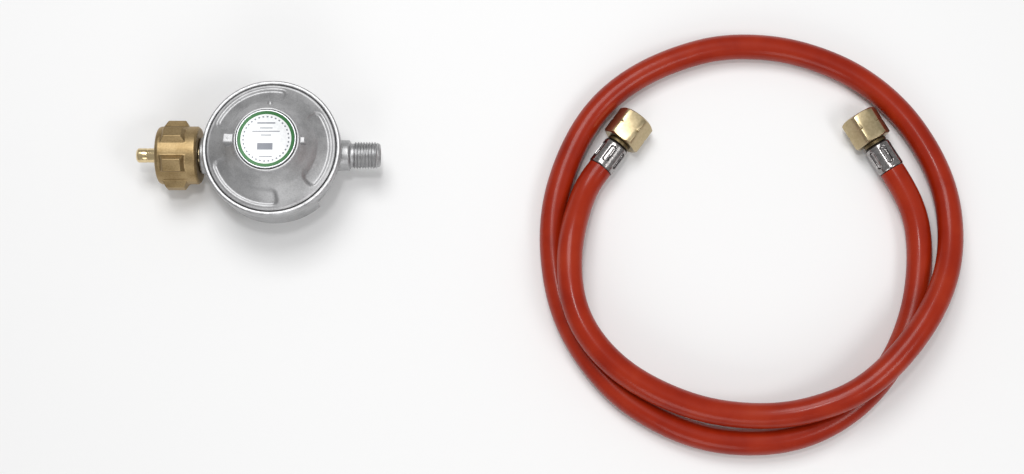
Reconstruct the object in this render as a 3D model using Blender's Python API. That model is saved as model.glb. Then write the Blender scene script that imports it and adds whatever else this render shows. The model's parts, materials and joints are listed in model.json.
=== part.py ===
"""A propane regulator with its separate hose: +X runs from inlet to outlet, +Z up, base face at z = 0.

Sizes are in millimetres and are turned into metres where a mesh is made.
"""

from math import cos, pi, radians, sin

import bmesh
import bpy
import numpy as np
from mathutils import Matrix, Vector

MM = 0.001
GAP = 0.3  # between pieces that touch on the real object
OVER = 2.0  # how far a cutter runs past what it cuts
BIG_SIDES = 48
MEDIUM_SIDES = 32
SMALL_SIDES = 20
TINY_SIDES = 14
THREAD_SIDES = 24

# Regulator body
RIM_R = 33.0
RIM_TOP_Z = 33.0
FLANGE_Z = 26.0
LIP_WIDTH = 2.0
LIP_THICK = 1.1
WALL_THICK = 1.0
RIM_OVERHANG = 3.5  # of the rim past the body
BODY_R = RIM_R - RIM_OVERHANG
BASE_R = 21.0
FLOOR_THICK = 6.0
BODY_WALL = 3.0
CHAMBER_R = BODY_R - BODY_WALL
LEDGE_Z = 28.2
SKIRT_SPAN_DEG = 84.0
SKIRT_DEPTH = 15.0

# Inlet and outlet share one axis
AXIS_Z = 17.0
INLET_BOSS_R = 9.0
INLET_REACH = 6.2  # of each boss and neck past the body
INLET_FACE_X = -(BODY_R + INLET_REACH)
INLET_BORE_R = 5.0
NOZZLE_DEPTH = 8.7
NOZZLE_SEAT_X = INLET_FACE_X + NOZZLE_DEPTH
GUIDE_BORE_R = 3.9
GUIDE_BOSS_R = 6.4
OUTLET_BOSS_R = 7.4
OUTLET_REACH = 6.7
OUTLET_BOSS_X = BODY_R + OUTLET_REACH
NECK_LENGTH = 14.5
OUTLET_END_X = OUTLET_BOSS_X + NECK_LENGTH
OUTLET_BORE_R = 4.0
THREAD_R = 6.58  # G 1/4, left hand
THREAD_DEPTH = 0.86
THREAD_PITCH = 1.337

# Inlet coupling
NUT_R = 14.0
NUT_STAND_OFF = 0.5
NUT_LENGTH = 20.1
NUT_BACK_X = INLET_FACE_X - NUT_STAND_OFF
NUT_FRONT_X = NUT_BACK_X - NUT_LENGTH
NUT_WALL = 5.0
NUT_BORE_R = 10.3  # W 21.8 x 1/14, left hand, over its crests
LUG_R = 16.5
LUG_LENGTH = 12.0
LUG_WIDTH = 8.4
LUG_TAPER = 0.62  # its top against its foot
LUG_COUNT = 6
SPIGOT_R = 3.5
SPIGOT_REACH = 10.7
SPIGOT_TIP_X = NUT_FRONT_X - SPIGOT_REACH
SPIGOT_BORE_R = 2.0
SPIGOT_STEM_R = 6.0
SPIGOT_FLANGE_R = 8.6
SPIGOT_FLANGE_THICK = 4.5
SEAL_THICK = 2.3
SEAL_R = 8.2
FILTER_LENGTH = 10.0
O_RING_R = 0.55
O_RING_SEAT = 1.4

# Cover
COVER_TOP_Z = 48.6
COVER_TOP_R = 15.2
SHOULDER_R = 21.0
SHOULDER_Z = 39.0
ANNULUS_INSET = 4.0
ANNULUS_R = RIM_R - ANNULUS_INSET
NECK_BORE_R = 11.2
POCKET_ANGLES_DEG = (-3.0, 117.0, 237.0)
POCKET_SPAN_DEG = 87.0
POCKET_DEPTH = 1.3
VENT_R = 1.25
SIDE_LUG_LENGTH = 3.4
SIDE_LUG_WIDTH = 3.6
LABEL_R = 14.0
LABEL_RIM = 0.4  # from the plate's edge to the wall of its seat
LABEL_THICK = 1.2
LABEL_SINK = 0.6
TAB_WIDTH = 4.7
TAB_LENGTH = 6.0
TAB_ANGLE_DEG = 177.0

# Diaphragm stack and lever
DIAPHRAGM_THICK = 0.8
DIAPHRAGM_SAG = 2.0
LOWER_PLATE_R = 15.0
SPRING_PLATE_R = 16.0
PLATE_THICK = 1.0
STEM_R = 2.0
STEM_HEAD_R = 3.2
STEM_COLLAR_R = 4.2
STEM_BOTTOM_Z = 7.6
STEM_TOP_Z = 36.5
CLIP_R = 4.4
CLIP_THICK = 1.0
LEVER_Z = 11.0
LEVER_ARM = 18.0
LEVER_THICK = 1.6
LEVER_WIDTH = 2.4
LEVER_PLAY = 0.9
LEVER_EYE_R = 2.4
LEVER_SIDE_GAP = 0.4
POST_LENGTH = 4.0
PIN_R = 1.2
PIN_HALF_LENGTH = 6.5
PLUNGER_R = 3.5
PLUNGER_END_X = 3.0 - LEVER_ARM
GUIDE_END_X = -2.5 - LEVER_ARM
PAD_THICK = 1.2
PAD_R = 2.8
NOZZLE_LENGTH = 3.7
NOZZLE_BORE_R = 1.0
NOZZLE_LIP_R = 1.8
NOZZLE_LIP = 0.7
VALVE_LIFT = 1.0
SPRING_WIRE_R = 0.65
SPRING_R = 8.0
SPRING_TURNS = 6
RELIEF_WIRE_R = 0.35
RELIEF_SPRING_R = 3.2
RELIEF_TURNS = 5
ADJUSTER_THICK = 3.6
ADJUSTER_DEPTH = 1.4  # below the label's seat
ADJUSTER_SOCKET_FLATS = 8.0

# Hose and its two alike ends; lengths run outward from the hose's cut end
HOSE_D = 12.3
HOSE_SIDES_RESOLUTION = 3
HOSE_STEP = 20.0
HOSE_STRAIGHT = 7.0  # held straight by each ferrule
FERRULE_R = 6.5
FERRULE_LENGTH = 14.0
TAIL_R = 3.9
TAIL_BORE_R = 2.1
TAIL_COLLAR_R = 5.8
TAIL_COLLAR_THICK = 1.6
TAIL_NOSE_R = 5.3
TAIL_NOSE_LENGTH = 3.4
HEX_FLATS = 17.0
HEX_LENGTH = 15.0
HEX_WALL = 3.2
HEX_BORE_R = 5.9
HEX_NOTCH_DEPTH = 0.8
HEX_CHAMFER = 1.1

# The hose's centreline from fitting a to fitting b, in mm
ROUTE = (
    (157.5, -4.3, 8.6),
    (155.12, -7.51, 8.6),
    (152.85, -10.8, 8.65),
    (148.8, -19.3, 10.2),
    (145.2, -31.0, 14.1),
    (142.6, -44.0, 17.1),
    (142.0, -57.5, 18.4),
    (143.8, -71.5, 18.6),
    (148.6, -84.0, 18.5),
    (156.3, -95.0, 18.1),
    (166.1, -104.3, 17.2),
    (177.7, -111.8, 16.1),
    (190.6, -117.8, 15.0),
    (204.5, -122.3, 14.0),
    (219.5, -124.9, 13.4),
    (234.5, -125.6, 13.7),
    (249.0, -124.3, 15.1),
    (262.5, -120.9, 17.1),
    (275.0, -115.8, 18.8),
    (286.0, -108.5, 19.6),
    (295.5, -99.8, 19.8),
    (304.1, -90.0, 19.6),
    (311.6, -79.6, 18.8),
    (317.9, -68.6, 17.1),
    (322.8, -56.8, 14.7),
    (325.9, -44.4, 11.8),
    (327.1, -31.3, 9.1),
    (326.2, -17.9, 7.1),
    (322.3, -3.5, 6.2),
    (315.8, 10.0, 6.2),
    (307.0, 23.1, 6.2),
    (295.5, 34.9, 6.2),
    (281.7, 44.7, 6.2),
    (266.2, 51.8, 6.2),
    (250.0, 56.4, 6.2),
    (232.9, 58.2, 6.2),
    (215.8, 57.2, 6.2),
    (199.0, 52.8, 6.2),
    (182.9, 46.0, 6.2),
    (168.3, 36.7, 6.2),
    (155.7, 24.4, 6.2),
    (146.2, 9.4, 6.2),
    (139.2, -7.5, 6.2),
    (135.1, -24.5, 6.2),
    (134.1, -41.6, 6.2),
    (135.6, -58.4, 6.2),
    (139.6, -74.9, 6.2),
    (146.5, -89.9, 6.2),
    (156.0, -103.6, 6.2),
    (167.3, -115.3, 6.2),
    (180.9, -124.7, 6.2),
    (195.6, -131.8, 6.2),
    (211.2, -136.2, 6.2),
    (227.5, -137.6, 6.2),
    (243.9, -136.2, 6.2),
    (259.7, -131.4, 6.2),
    (273.8, -123.5, 6.2),
    (286.0, -113.0, 6.2),
    (296.0, -100.4, 6.2),
    (303.3, -86.8, 6.2),
    (308.4, -72.4, 6.2),
    (311.4, -57.4, 6.2),
    (312.3, -42.8, 6.4),
    (310.9, -29.3, 7.2),
    (307.1, -18.2, 8.2),
    (304.15, -12.3, 8.55),
    (302.19, -8.67, 8.6),
    (300.2, -5.2, 8.6),
)


def material(name, colour, roughness, metallic):
    """A Principled material of one colour."""
    made = bpy.data.materials.new(name)
    made.use_nodes = True
    shader = made.node_tree.nodes["Principled BSDF"]
    shader.inputs["Base Color"].default_value = (*colour, 1.0)
    shader.inputs["Roughness"].default_value = roughness
    shader.inputs["Metallic"].default_value = metallic
    return made


def add_mesh(name, mesh_data, finish):
    """Turns a bmesh into an object in the scene."""
    bmesh.ops.remove_doubles(mesh_data, verts=mesh_data.verts, dist=1e-7)
    bmesh.ops.recalc_face_normals(mesh_data, faces=mesh_data.faces)
    mesh = bpy.data.meshes.new(name)
    mesh_data.to_mesh(mesh)
    mesh_data.free()
    if finish:
        mesh.materials.append(finish)
        mesh.shade_smooth()
        mesh.set_sharp_from_angle(angle=radians(35))
    made = bpy.data.objects.new(name, mesh)
    bpy.context.scene.collection.objects.link(made)
    return made


def turned(name, profile, finish=None, sides=BIG_SIDES, span_deg=360.0, middle_deg=0.0):
    """Turns a profile of (radius, height) points about +Z, all round or over part of a circle.

    A profile that touches the axis starts and ends on it. Any other is a closed outline.
    """
    data = bmesh.new()
    whole = span_deg == 360.0
    closed = profile[0][0] > 0 or profile[-1][0] > 0
    count = sides if whole else max(2, round(sides * span_deg / 360.0))
    rings = []
    for step in range(count if whole else count + 1):
        angle = radians(middle_deg - span_deg / 2 + span_deg * step / count)
        rings.append([data.verts.new((r * MM * cos(angle), r * MM * sin(angle), h * MM)) for r, h in profile])
    spans = range(len(profile)) if closed else range(len(profile) - 1)
    for step in range(count):
        near, far = rings[step], rings[(step + 1) % len(rings)]
        for i in spans:
            j = (i + 1) % len(profile)
            data.faces.new((near[i], far[i], far[j], near[j]))
    if not whole:
        data.faces.new(rings[0])
        data.faces.new(rings[-1])
    return add_mesh(name, data, finish)


def prism(name, outline, low, high, finish=None, top_scale=1.0):
    """Raises a closed (x, y) outline from height low to high, its top drawn in by top_scale."""
    data = bmesh.new()
    bottom = [data.verts.new((x * MM, y * MM, low * MM)) for x, y in outline]
    top = [data.verts.new((x * top_scale * MM, y * top_scale * MM, high * MM)) for x, y in outline]
    data.faces.new(bottom)
    data.faces.new(top)
    for i in range(len(outline)):
        j = (i + 1) % len(outline)
        data.faces.new((bottom[i], bottom[j], top[j], top[i]))
    return add_mesh(name, data, finish)


def box(name, low, high, finish=None):
    """A block between two corners."""
    (x0, y0, z0), (x1, y1, z1) = low, high
    return prism(name, ((x0, y0), (x1, y0), (x1, y1), (x0, y1)), z0, z1, finish)


def polygon(count, flats, turn_deg=0.0):
    """A regular polygon's corners, from its size across flats."""
    radius = flats / 2 / cos(pi / count)
    turns = [radians(turn_deg) + 2 * pi * i / count for i in range(count)]
    return [(radius * cos(turn), radius * sin(turn)) for turn in turns]


def lay_along_x(made, height=AXIS_Z):
    """Points a turned piece's axis along +X at the height of the gas line."""
    made.location = (0, 0, height * MM)
    made.rotation_euler = (0, pi / 2, 0)
    return made


def lay_along_y(made, x, z):
    """Points a turned piece's axis along -Y through (x, z)."""
    made.location = (x * MM, 0, z * MM)
    made.rotation_euler = (pi / 2, 0, 0)
    return made


def combine(target, other, operation="DIFFERENCE"):
    """Adds a live Boolean and hides its second shape."""
    bpy.context.view_layer.update()
    if other.parent is None:
        place = other.matrix_world.copy()
        other.parent = target
        other.matrix_parent_inverse = target.matrix_world.inverted()
        other.matrix_world = place
    other.hide_render = True
    other.display_type = "WIRE"
    step = target.modifiers.new(other.name, "BOOLEAN")
    step.operation = operation
    step.solver = "EXACT"
    step.object = other


def coil_spring(name, radius, wire_r, low, high, turns, finish, points_per_turn=10):
    """An open helical spring about +Z, with its wire between heights low and high."""
    curve = bpy.data.curves.new(name, "CURVE")
    curve.dimensions = "3D"
    curve.bevel_depth = wire_r * MM
    curve.bevel_resolution = 1
    curve.use_fill_caps = True
    count = turns * points_per_turn + 1
    line = curve.splines.new("POLY")
    line.points.add(count - 1)
    for i, point in enumerate(line.points):
        angle = 2 * pi * i / points_per_turn
        height = low + wire_r + (high - low - 2 * wire_r) * i / (count - 1)
        point.co = (radius * cos(angle) * MM, radius * sin(angle) * MM, height * MM, 1)
    curve.materials.append(finish)
    made = bpy.data.objects.new(name, curve)
    bpy.context.scene.collection.objects.link(made)
    return made


def smooth_line(points, step, straight):
    """Points along a natural cubic spline through the given ones: even steps, with two short straight ends."""
    knots = np.array(points, float)
    chord = np.concatenate([[0.0], np.cumsum(np.linalg.norm(np.diff(knots, axis=0), axis=1))])
    gaps = np.diff(chord)
    count = len(knots)
    system = np.eye(count)
    right = np.zeros((count, 3))
    slopes = np.diff(knots, axis=0) / gaps[:, None]
    for i in range(1, count - 1):
        system[i, i - 1 : i + 2] = gaps[i - 1], 2 * (gaps[i - 1] + gaps[i]), gaps[i]
        right[i] = 6 * (slopes[i] - slopes[i - 1])
    bends = np.linalg.solve(system, right)

    def at(distance):
        i = min(int(np.searchsorted(chord, distance, side="right")) - 1, count - 2)
        before, after, gap = chord[i + 1] - distance, distance - chord[i], gaps[i]
        return (
            bends[i] * before**3 / (6 * gap)
            + bends[i + 1] * after**3 / (6 * gap)
            + (knots[i] / gap - bends[i] * gap / 6) * before
            + (knots[i + 1] / gap - bends[i + 1] * gap / 6) * after
        )

    total = chord[-1]
    spans = round((total - 2 * straight) / step)
    even = [straight + (total - 2 * straight) * i / spans for i in range(spans + 1)]
    return [at(distance) for distance in (0.0, *even, total)]


def lower_housing(finish):
    """The cast lower half: cup, rolled rim, skirts, inlet boss, outlet neck and the lever's two posts."""
    lip_under = RIM_TOP_Z - LIP_THICK
    lip_r = RIM_R - LIP_WIDTH
    wall_r = RIM_R - WALL_THICK
    cup = turned(
        "lower_housing",
        [
            (0, 0), (BASE_R, 0), (BASE_R + 1.5, 1.2), (BODY_R - 2, 5), (BODY_R, 9), (BODY_R, FLANGE_Z - 2),
            (RIM_R, FLANGE_Z + 0.5), (RIM_R, RIM_TOP_Z - 0.6), (RIM_R - 0.6, RIM_TOP_Z),
            (lip_r + 0.4, RIM_TOP_Z), (lip_r, RIM_TOP_Z - 0.4), (lip_r, lip_under),
            (wall_r, lip_under), (wall_r, LEDGE_Z), (CHAMBER_R, LEDGE_Z),
            (CHAMBER_R, FLOOR_THICK + 1.5), (CHAMBER_R - 1.5, FLOOR_THICK), (0, FLOOR_THICK),
        ],
        finish,
        sides=BIG_SIDES,
    )
    skirt_r = RIM_R - 0.5
    for side, middle in (("upper", 90.0), ("lower", 270.0)):
        high = FLANGE_Z - 0.4
        low = high - SKIRT_DEPTH
        outline = [
            (BODY_R - 1, low), (skirt_r - 1, low), (skirt_r, low + 1),
            (skirt_r, high), (RIM_R - 1.5, high + 1.5), (BODY_R - 1, high + 1.5),
        ]
        skirt = turned(f"{side}_skirt", outline, sides=BIG_SIDES, span_deg=SKIRT_SPAN_DEG, middle_deg=middle)
        combine(cup, skirt, "UNION")
    inlet = [(0, INLET_FACE_X), (INLET_BOSS_R - 0.5, INLET_FACE_X), (INLET_BOSS_R, INLET_FACE_X + 0.5)]
    inlet += [(INLET_BOSS_R, -CHAMBER_R + 1), (GUIDE_BOSS_R, -CHAMBER_R + 1.5), (GUIDE_BOSS_R, GUIDE_END_X)]
    inlet += [(0, GUIDE_END_X)]
    combine(cup, lay_along_x(turned("inlet_boss", inlet, sides=MEDIUM_SIDES)), "UNION")
    combine(cup, lay_along_x(turned("outlet_neck", outlet_profile(), sides=THREAD_SIDES)), "UNION")
    pivot_x = -LEVER_ARM
    for side in (-1, 1):
        near, far = sorted((side * (LEVER_WIDTH / 2 + 2.0), side * (PIN_HALF_LENGTH - 0.5)))
        low = (pivot_x - POST_LENGTH / 2, near, FLOOR_THICK - 0.5)
        high = (pivot_x + POST_LENGTH / 2, far, LEVER_Z + 3.0)
        post = box(f"lever_post_{'right' if side < 0 else 'left'}", low, high)
        combine(cup, post, "UNION")
    recess_r, recess_x = SPIGOT_STEM_R + 0.4, INLET_FACE_X + O_RING_SEAT
    bore = [
        (0, INLET_FACE_X - OVER), (recess_r, INLET_FACE_X - OVER), (recess_r, recess_x),
        (INLET_BORE_R, recess_x), (INLET_BORE_R, NOZZLE_SEAT_X), (GUIDE_BORE_R, NOZZLE_SEAT_X),
        (GUIDE_BORE_R, GUIDE_END_X + 0.4), (0, GUIDE_END_X + 0.4),
    ]
    out_end = OUTLET_END_X + OVER
    out = [(0, CHAMBER_R - 3), (OUTLET_BORE_R, CHAMBER_R - 3), (OUTLET_BORE_R, out_end), (0, out_end)]
    combine(cup, lay_along_x(turned("outlet_bore", out, sides=SMALL_SIDES)))
    combine(cup, lay_along_x(turned("inlet_bore", bore, sides=MEDIUM_SIDES)))
    reach = PIN_HALF_LENGTH + OVER
    hole = [(0, -reach), (PIN_R + GAP, -reach), (PIN_R + GAP, reach), (0, reach)]
    combine(cup, lay_along_y(turned("pin_hole", hole, sides=TINY_SIDES), pivot_x, LEVER_Z))
    return cup


def outlet_profile():
    """Boss, undercut and thread, with each crest as a ring at the thread's pitch."""
    start = OUTLET_BOSS_X + 1.8
    root = THREAD_R - THREAD_DEPTH
    outline = [
        (0, CHAMBER_R + 0.6), (OUTLET_BOSS_R, CHAMBER_R + 0.6), (OUTLET_BOSS_R, OUTLET_BOSS_X - 0.5),
        (OUTLET_BOSS_R - 0.5, OUTLET_BOSS_X), (root, OUTLET_BOSS_X + 0.4), (root, start),
    ]
    for crest in range(int((OUTLET_END_X - 1.0 - start) / THREAD_PITCH)):
        middle = start + (crest + 0.5) * THREAD_PITCH
        outline += [(THREAD_R, middle - 0.15), (THREAD_R, middle + 0.15), (root, middle + THREAD_PITCH / 2)]
    outline += [(root, OUTLET_END_X), (0, OUTLET_END_X)]
    return outline


def cover(finish):
    """The bell with its pockets, pointer tab, small lug, vent and label seat."""
    foot = LEDGE_Z + DIAPHRAGM_THICK + 2 * GAP
    flange_top = RIM_TOP_Z - LIP_THICK - GAP
    inner_r = RIM_R - LIP_WIDTH - GAP
    seat = COVER_TOP_Z - LABEL_SINK
    seat_r = LABEL_R + LABEL_RIM
    bell = turned(
        "cover",
        [
            (RIM_R - WALL_THICK - GAP, foot), (RIM_R - WALL_THICK - GAP, flange_top), (inner_r, flange_top),
            (inner_r, RIM_TOP_Z), (inner_r - 0.3, RIM_TOP_Z + 0.2), (ANNULUS_R, RIM_TOP_Z + 0.3),
            (SHOULDER_R, SHOULDER_Z), (COVER_TOP_R + 0.4, COVER_TOP_Z - 0.4), (COVER_TOP_R, COVER_TOP_Z),
            (seat_r, COVER_TOP_Z), (seat_r, seat), (NECK_BORE_R, seat), (NECK_BORE_R, SHOULDER_Z + 2.5),
            (SHOULDER_R - 4, SHOULDER_Z - 1), (ANNULUS_R - 3, RIM_TOP_Z - 1.4),
            (CHAMBER_R + 0.5, RIM_TOP_Z - 2), (CHAMBER_R + 0.5, foot),
        ],
        finish,
        sides=BIG_SIDES,
    )
    slope = (SHOULDER_Z - RIM_TOP_Z - 0.3) / (ANNULUS_R - SHOULDER_R)
    outer_r, near_r = ANNULUS_R - 0.2, SHOULDER_R + 0.4
    outer_z = RIM_TOP_Z + 0.3 + (ANNULUS_R - outer_r) * slope - POCKET_DEPTH
    near_z = SHOULDER_Z - (near_r - SHOULDER_R) * slope - POCKET_DEPTH
    above = SHOULDER_Z + OVER
    pocket_outline = [(near_r, near_z), (outer_r, outer_z), (outer_r, above), (near_r, above)]
    for number, angle in enumerate(POCKET_ANGLES_DEG):
        pocket = turned(
            f"pocket_{number}", pocket_outline, sides=BIG_SIDES, span_deg=POCKET_SPAN_DEG, middle_deg=angle
        )
        combine(bell, pocket)
    near, half = LABEL_R + 2 * LABEL_RIM, TAB_WIDTH / 2
    far = near + TAB_LENGTH
    arrow = ((near, -half), (far - 1.6, -half), (far, 0), (far - 1.6, half), (near, half))
    tab = prism("pointer_tab", arrow, SHOULDER_Z + 0.6, COVER_TOP_Z - 0.9)
    tab.rotation_euler = (0, 0, radians(TAB_ANGLE_DEG))
    combine(bell, tab, "UNION")
    half = SIDE_LUG_WIDTH / 2
    lug = box("side_lug", (near, -half, SHOULDER_Z + 2.5), (near + SIDE_LUG_LENGTH, half, COVER_TOP_Z - 1.2))
    combine(bell, lug, "UNION")
    mouth, inside = -SHOULDER_R - OVER, -NECK_BORE_R + 3
    vent = [(0, mouth), (VENT_R, mouth), (VENT_R, inside), (0, inside)]
    combine(bell, lay_along_y(turned("vent", vent, sides=TINY_SIDES), 0, SHOULDER_Z + 1.0))
    return bell


def inlet_nut(finish):
    """The coupling nut with its six lugs, its axis along +X."""
    back_hole = SPIGOT_STEM_R + GAP
    wall_x = NUT_BACK_X - NUT_WALL
    nut = lay_along_x(
        turned(
            "inlet_nut",
            [
                (NUT_BORE_R + 0.6, NUT_FRONT_X), (NUT_R - 1.2, NUT_FRONT_X), (NUT_R, NUT_FRONT_X + 1.2),
                (NUT_R, NUT_BACK_X - 1.0), (NUT_R - 1.0, NUT_BACK_X), (back_hole, NUT_BACK_X),
                (back_hole, wall_x), (NUT_BORE_R, wall_x), (NUT_BORE_R, NUT_FRONT_X + 0.6),
            ],
            finish,
            sides=BIG_SIDES,
        )
    )
    middle = (NUT_FRONT_X + NUT_BACK_X) / 2 - 1.3
    base_r = NUT_R - 1.5
    for number in range(LUG_COUNT):
        half_x, half_y = LUG_LENGTH / 2, LUG_WIDTH / 2
        outline = ((-half_x, -half_y), (half_x, -half_y), (half_x, half_y), (-half_x, half_y))
        lug = prism(f"nut_lug_{number}", outline, base_r, LUG_R, top_scale=LUG_TAPER)
        turn = 2 * pi * number / LUG_COUNT + pi / 2
        lug.matrix_world = Matrix.Translation((middle * MM, 0, AXIS_Z * MM)) @ Matrix.Rotation(turn, 4, "X")
        combine(nut, lug, "UNION")
    return nut


def inlet_line(brass, polished, seal_black, steel):
    """What lies on the inlet axis: spigot, washer, ring, strainer and valve seat."""
    flange_back = NUT_BACK_X - NUT_WALL - GAP
    flange_front = flange_back - SPIGOT_FLANGE_THICK
    shoulder = INLET_FACE_X - GAP
    nozzle_front = NOZZLE_SEAT_X - GAP - NOZZLE_LENGTH
    thread = INLET_BORE_R - GAP
    spigot = [
        (SPIGOT_BORE_R, SPIGOT_TIP_X), (SPIGOT_R - 0.8, SPIGOT_TIP_X), (SPIGOT_R, SPIGOT_TIP_X + 0.8),
        (SPIGOT_R, flange_front), (SPIGOT_FLANGE_R, flange_front), (SPIGOT_FLANGE_R, flange_back),
        (SPIGOT_STEM_R, flange_back), (SPIGOT_STEM_R, shoulder), (thread, shoulder),
        (thread, nozzle_front - GAP), (SPIGOT_BORE_R, nozzle_front - GAP),
    ]
    lay_along_x(turned("inlet_spigot", spigot, polished, sides=MEDIUM_SIDES))
    seal_back = flange_front - GAP
    seal_front = seal_back - SEAL_THICK
    seal_hole = SPIGOT_R + GAP
    seal = [(seal_hole, seal_front), (SEAL_R, seal_front), (SEAL_R, seal_back), (seal_hole, seal_back)]
    lay_along_x(turned("inlet_seal", seal, seal_black, sides=MEDIUM_SIDES))
    ring_r = thread + GAP / 2 + O_RING_R + 0.1
    ring_x = INLET_FACE_X + O_RING_SEAT / 2
    turns = [2 * pi * i / 8 for i in range(8)]
    ring = [(ring_r + O_RING_R * cos(turn), ring_x + O_RING_R * sin(turn)) for turn in turns]
    lay_along_x(turned("inlet_o_ring", ring, seal_black, sides=SMALL_SIDES))
    outer, inner = SPIGOT_BORE_R - GAP, SPIGOT_BORE_R - GAP - 0.4
    mouth = SPIGOT_TIP_X + 1.0
    end = mouth + FILTER_LENGTH
    gauze = [(0, end), (outer, end), (outer, mouth), (inner, mouth), (inner, end - 0.5), (0, end - 0.5)]
    lay_along_x(turned("inlet_filter", gauze, steel, sides=TINY_SIDES))
    nozzle_back = NOZZLE_SEAT_X - GAP
    nozzle = [
        (NOZZLE_BORE_R, nozzle_front), (thread, nozzle_front), (thread, nozzle_back),
        (NOZZLE_LIP_R, nozzle_back), (NOZZLE_LIP_R, nozzle_back + NOZZLE_LIP),
        (NOZZLE_BORE_R, nozzle_back + NOZZLE_LIP),
    ]
    lay_along_x(turned("inlet_nozzle", nozzle, brass, sides=SMALL_SIDES))


def valve_and_lever(brass, seal_black, steel):
    """The plunger with its pad, and the bell-crank lever on its pin."""
    pad_front = NOZZLE_SEAT_X + NOZZLE_LIP + VALVE_LIFT
    pad_back = pad_front + PAD_THICK
    pad = [(0, pad_front), (PAD_R, pad_front), (PAD_R, pad_back), (0, pad_back)]
    lay_along_x(turned("valve_pad", pad, seal_black, sides=SMALL_SIDES))
    floor = pad_back + GAP
    body = [
        (0, floor), (PAD_R + GAP, floor), (PAD_R + GAP, pad_front + 0.4), (PLUNGER_R, pad_front + 0.4),
        (PLUNGER_R, PLUNGER_END_X), (0, PLUNGER_END_X),
    ]
    plunger = lay_along_x(turned("valve_plunger", body, brass, sides=SMALL_SIDES))
    half = LEVER_THICK / 2 + LEVER_PLAY
    across = LEVER_WIDTH / 2 + LEVER_SIDE_GAP
    slot_top = (-LEVER_ARM + half, across, AXIS_Z + 2.3)
    slot = box("plunger_slot", (-LEVER_ARM - half, -across, LEVER_Z), slot_top)
    combine(plunger, slot)
    wide = LEVER_WIDTH / 2
    eye = [(0, -wide), (LEVER_EYE_R, -wide), (LEVER_EYE_R, wide), (0, wide)]
    lever = lay_along_y(turned("lever", eye, steel, sides=SMALL_SIDES), -LEVER_ARM, LEVER_Z)
    thick, slim = LEVER_THICK / 2, wide - 0.01
    long_arm = box("long_arm", (-LEVER_ARM, -slim, LEVER_Z - thick), (1.5, slim, LEVER_Z + thick))
    combine(lever, long_arm, "UNION")
    short_top = (-LEVER_ARM + thick, slim, AXIS_Z + 1.5)
    short_arm = box("short_arm", (-LEVER_ARM - thick, -slim, LEVER_Z), short_top)
    combine(lever, short_arm, "UNION")
    hole = [(0, -OVER), (PIN_R + GAP, -OVER), (PIN_R + GAP, OVER), (0, OVER)]
    combine(lever, lay_along_y(turned("lever_eye", hole, sides=TINY_SIDES), -LEVER_ARM, LEVER_Z))
    pin = [(0, -PIN_HALF_LENGTH), (PIN_R, -PIN_HALF_LENGTH), (PIN_R, PIN_HALF_LENGTH), (0, PIN_HALF_LENGTH)]
    lay_along_y(turned("lever_pin", pin, steel, sides=TINY_SIDES), -LEVER_ARM, LEVER_Z)


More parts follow.
